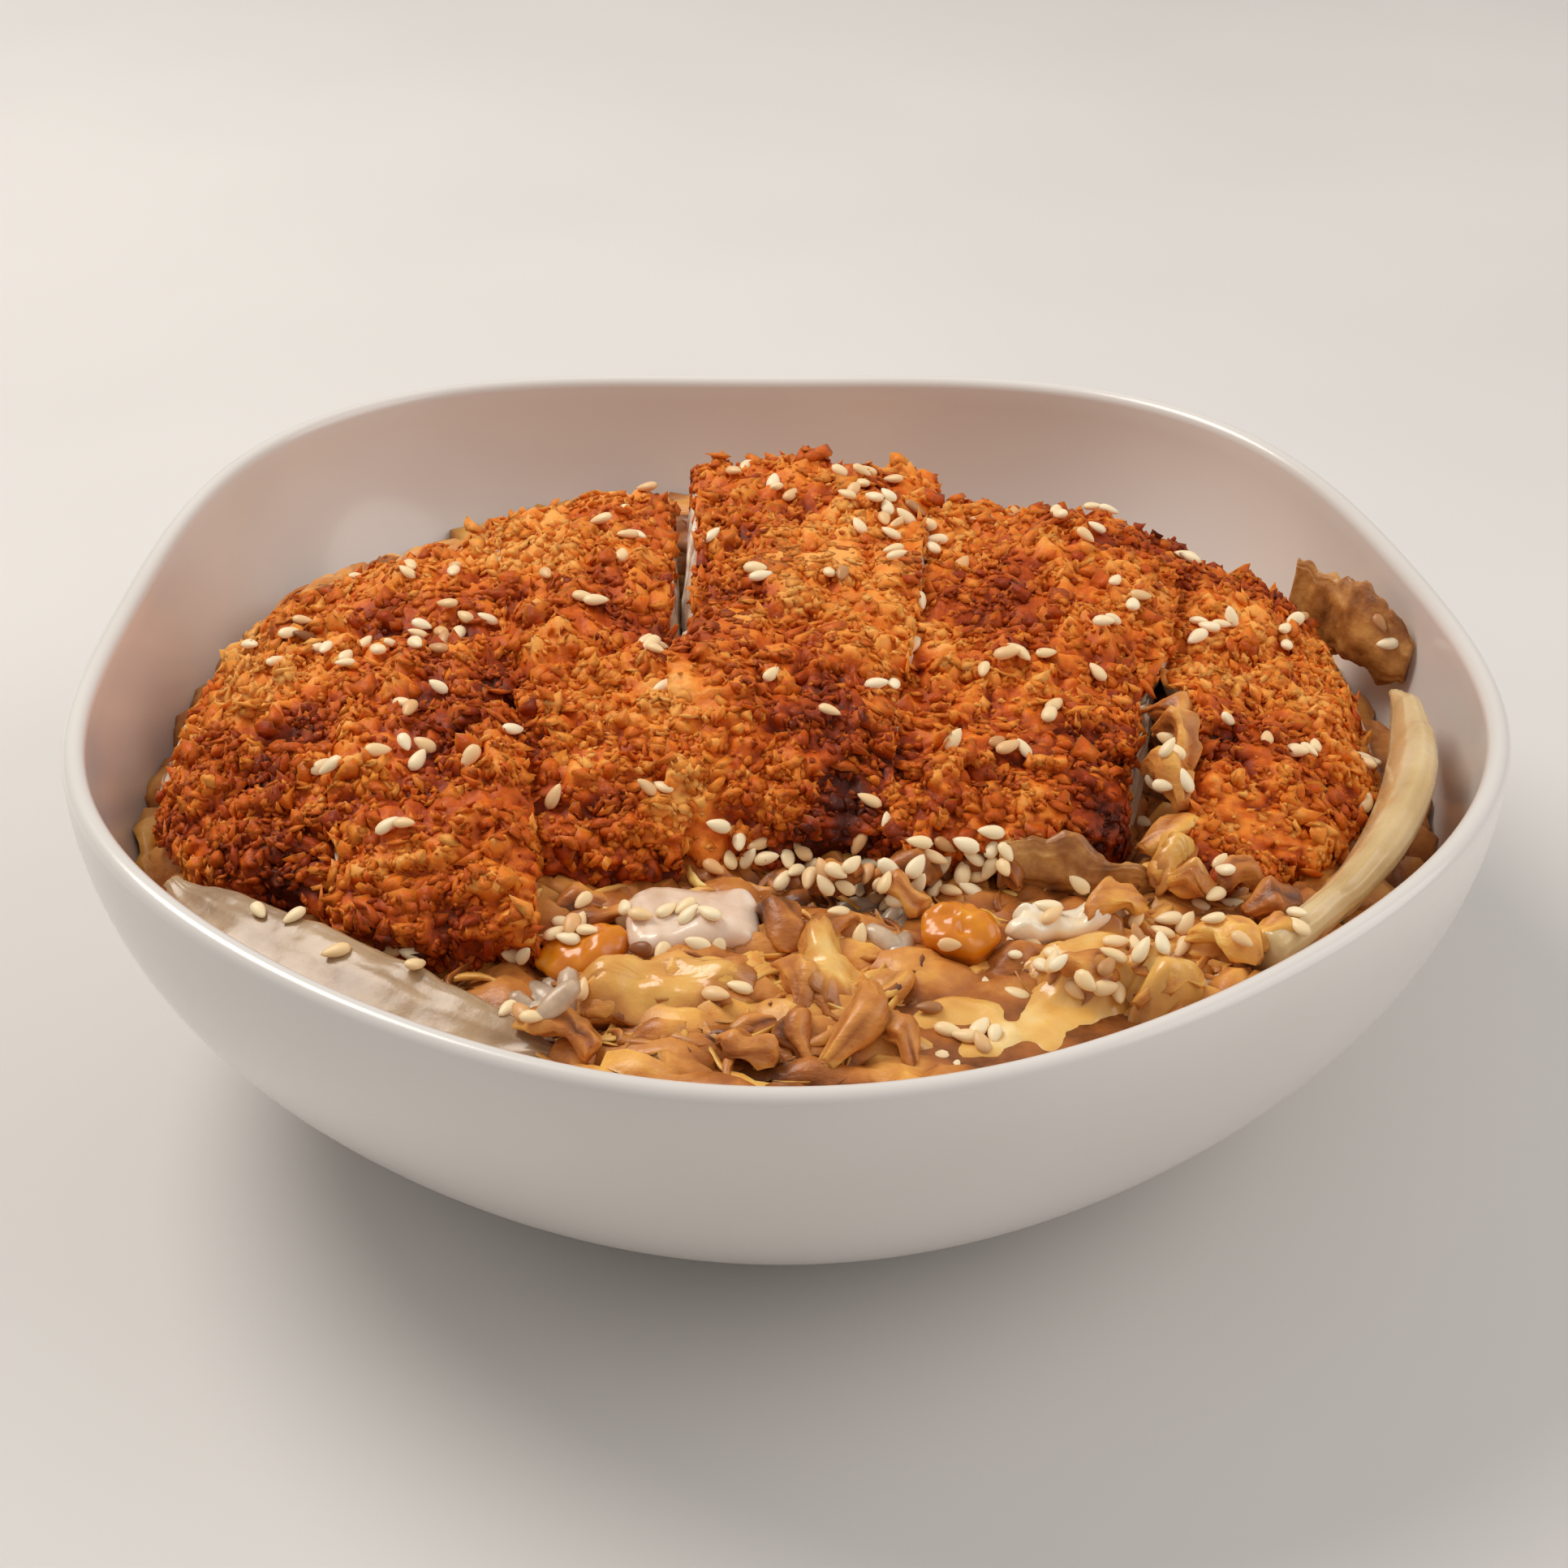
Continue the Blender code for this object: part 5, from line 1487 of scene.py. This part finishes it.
# %% Sesame
SEED_GROUPS = (
    (1060, 600, 34, 9), (1090, 645, 30, 7), (960, 605, 18, 3), (905, 585, 10, 1), (940, 715, 14, 2),
    (1020, 710, 14, 2), (880, 665, 8, 1), (785, 665, 16, 2), (740, 645, 8, 1), (765, 690, 10, 1),
    (800, 600, 10, 2), (675, 712, 8, 1), (735, 745, 14, 2), (800, 800, 22, 4), (820, 850, 10, 1),
    (560, 710, 12, 2), (500, 710, 14, 2), (480, 660, 12, 1), (575, 765, 16, 3), (550, 795, 22, 5),
    (520, 775, 10, 2), (465, 805, 12, 3), (425, 815, 18, 3), (375, 790, 20, 3), (340, 820, 8, 1),
    (310, 800, 8, 1), (375, 770, 8, 1), (225, 865, 6, 1), (540, 850, 8, 1), (505, 880, 14, 2),
    (395, 948, 12, 2), (500, 920, 16, 3), (515, 942, 10, 2), (580, 935, 8, 2), (630, 905, 8, 1),
    (687, 985, 6, 1), (795, 975, 10, 2), (500, 1020, 12, 2), (1105, 690, 14, 2), (1130, 745, 6, 1),
    (1150, 680, 10, 2), (1185, 700, 10, 1), (1300, 635, 10, 2), (1350, 655, 8, 1), (1375, 720, 8, 1),
    (1395, 750, 10, 2), (1360, 770, 8, 2), (1460, 690, 10, 2), (1475, 790, 16, 3), (1505, 775, 10, 2),
    (1590, 770, 12, 3), (1585, 793, 6, 1), (1240, 810, 16, 3), (1290, 810, 10, 1), (1350, 833, 6, 1),
    (1215, 830, 8, 1), (1125, 800, 6, 1), (1100, 850, 12, 2), (1018, 880, 6, 1), (950, 835, 6, 1),
    (1175, 915, 6, 1), (1245, 925, 18, 4), (1300, 875, 12, 3), (1070, 992, 6, 1), (1090, 1020, 8, 1),
    (1440, 925, 14, 3), (1435, 970, 16, 5), (1560, 915, 8, 1), (1610, 930, 12, 3), (1510, 890, 8, 1),
    (1680, 945, 10, 3), (1690, 990, 8, 2), (1400, 1020, 12, 2), (1710, 795, 10, 2), (1700, 770, 8, 2),
    (885, 1020, 10, 2), (935, 1045, 18, 4), (890, 1075, 14, 3), (1000, 1070, 24, 9), (1070, 1080, 28, 10),
    (1075, 1120, 24, 6), (1150, 1060, 22, 8), (1200, 1060, 26, 12), (1180, 1090, 20, 6), (1240, 1080, 12, 2),
    (845, 1120, 18, 4), (790, 1130, 16, 3), (715, 1140, 26, 6), (690, 1150, 14, 3), (630, 1180, 10, 2),
    (510, 1180, 12, 3), (415, 1175, 6, 1), (360, 1125, 10, 2), (320, 1125, 8, 2), (640, 1240, 16, 5),
    (720, 1222, 6, 1), (790, 1170, 14, 3), (860, 1165, 12, 2), (910, 1220, 12, 2), (1170, 1165, 8, 2),
    (1145, 1245, 6, 1), (1190, 1280, 24, 5), (1155, 1310, 20, 3), (1330, 1090, 12, 2), (1290, 1120, 10, 2),
    (1270, 1165, 14, 3), (1300, 1180, 20, 4), (1370, 1180, 14, 3), (1400, 1155, 14, 3), (1440, 1135, 12, 3),
    (1430, 1165, 14, 4), (1480, 1120, 12, 3), (1520, 1110, 12, 3), (1510, 1075, 8, 2), (1530, 1160, 12, 3),
    (1375, 1225, 8, 2), (1600, 1145, 12, 2), (1240, 1220, 16, 3), (1085, 1180, 10, 2), (1340, 1210, 12, 2),
)
SEED_GAP = 1.9 * MM
# Half a seed's length, width and thickness, in mm.
SEED_SIZE = (1.65, 1.0, 0.62)
# How high a seed's middle lies above crust, and above all the rest.
LIFT_ON_CRUST, LIFT_ON_EGG = 0.8 * MM, 0.45 * MM
# Seeds dropped from above behind the cutlet, which the photograph hides.
SEEDS_BEHIND = 46
ABOVE_DISH = 0.1


def seed_profile(share):
    """A drop: blunt at one end, pointed at the other."""
    return math.sin(math.pi * share**0.82) ** 0.62 * (1 - 0.18 * share)


def scatter_seeds():
    draw = np.random.default_rng(77)
    trees = [(tree, LIFT_ON_CRUST) for tree in strip_trees] + [(bed_tree, LIFT_ON_EGG)]
    trees += [(piece_tree(piece), LIFT_ON_EGG) for piece in (egg_folds, *ribbons, *lumps, *films)]
    spots, normals = [], []

    def drop(origin, ray):
        hits = [(tree.ray_cast(origin, ray), lift) for tree, lift in trees]
        hits = [h for h in hits if h[0][0] is not None]
        if hits:
            (spot, normal, _, _), lift = min(hits, key=lambda h: h[0][3])
            normal = np.array(normal if normal.dot(ray) < 0 else -normal) + [0, 0, 0.9]
            normal /= np.linalg.norm(normal)
            spot = np.array(spot) + normal * lift
            if all(np.linalg.norm(spot - other) > SEED_GAP for other in spots):
                spots.append(spot)
                normals.append(normal)
                return True
        return False

    for px, py, spread, count in SEED_GROUPS:
        for k in range(count):
            for widen in range(6):
                away = math.sqrt(draw.uniform(0.05, 1)) * (k + widen > 0)
                reach = spread * (1 + 0.3 * widen) * away
                turn = draw.uniform(0, 2 * math.pi)
                place = px + reach * math.cos(turn), py + 0.7 * reach * math.sin(turn)
                if drop(CAMERA_PLACE, picture_ray(*place)):
                    break
    for _ in range(SEEDS_BEHIND):
        x, y = draw.uniform(-70, 70) * MM, draw.uniform(20, 84) * MM
        if math.hypot(x, y) < 82 * MM:
            drop(Vector((x, y, ABOVE_DISH)), DOWN)
    count = len(spots)
    body, faces = oval_body(9, 12, seed_profile)
    turns, tilts = draw.uniform(0, 2 * math.pi, count), draw.normal(0, 0.22, count)
    axes = axes_from(np.array(normals), turns, tilts)
    scale = draw.uniform(0.86, 1.12, (count, 1)) * np.array([SEED_SIZE]) * MM
    verts, faces = repeat_body(body, faces, spots, axes, scale)
    tint = np.clip(draw.beta(1.3, 2.6, count) * 1.1, 0, 1)
    marks = {"tint": np.repeat(tint, len(body))}
    seeds = make_piece("sesame_seeds", verts, faces, [seed_coat.material], marks)
    settle(seeds, "panko_crust")
    print(count, "sesame seeds")


scatter_seeds()

# %% [markdown]
# ## Floor and light
#
# The dish stands on a plain pale floor in soft light from a broad lamp above and behind, with a
# weaker fill from the right. A large lamp gives the glaze a long, soft highlight on the rim.

# %% Stage
floor_mesh = bpy.data.meshes.new("floor")
REACH = 3.0
corners = [(-REACH, -REACH, 0), (REACH, -REACH, 0), (REACH, REACH, 0), (-REACH, REACH, 0)]
floor_mesh.from_pydata(corners, [], [(0, 1, 2, 3)])
floor = bpy.data.objects.new("floor", floor_mesh)
bpy.context.scene.collection.objects.link(floor)
floor_finish = Finish("pale_floor", 0.7)
floor_stops = ((0.3, (216, 213, 210)), (0.7, (222, 219, 216)))
floor_finish.colour(floor_finish.ramp(floor_finish.noise(90 * MM, 2.0), floor_stops))
floor_mesh.materials.append(floor_finish.material)

world = bpy.data.worlds.new("soft_room")
world.use_nodes = True
sky = world.node_tree.nodes["Background"].inputs
sky["Color"].default_value = (1.0, 0.97, 0.94, 1)
sky["Strength"].default_value = 0.46
bpy.context.scene.world = world
bpy.context.scene.view_settings.view_transform = "Standard"


def lamp(name, place, size, power, colour, target=(0, 0, 0.04)):
    """A round lamp that faces the food."""
    light = bpy.data.lights.new(name, "AREA")
    light.shape = "DISK"
    light.size = size
    light.energy = power
    light.color = colour
    thing = bpy.data.objects.new(name, light)
    thing.location = place
    thing.rotation_euler = (Vector(target) - Vector(place)).to_track_quat("-Z", "Y").to_euler()
    bpy.context.scene.collection.objects.link(thing)


lamp("key_lamp", (-0.45, 0.32, 0.75), 0.5, 5.2, (1.0, 0.95, 0.88))
lamp("fill_lamp", (0.75, -0.05, 0.55), 0.8, 2.8, (1.0, 0.97, 0.93))
print("stage ready")
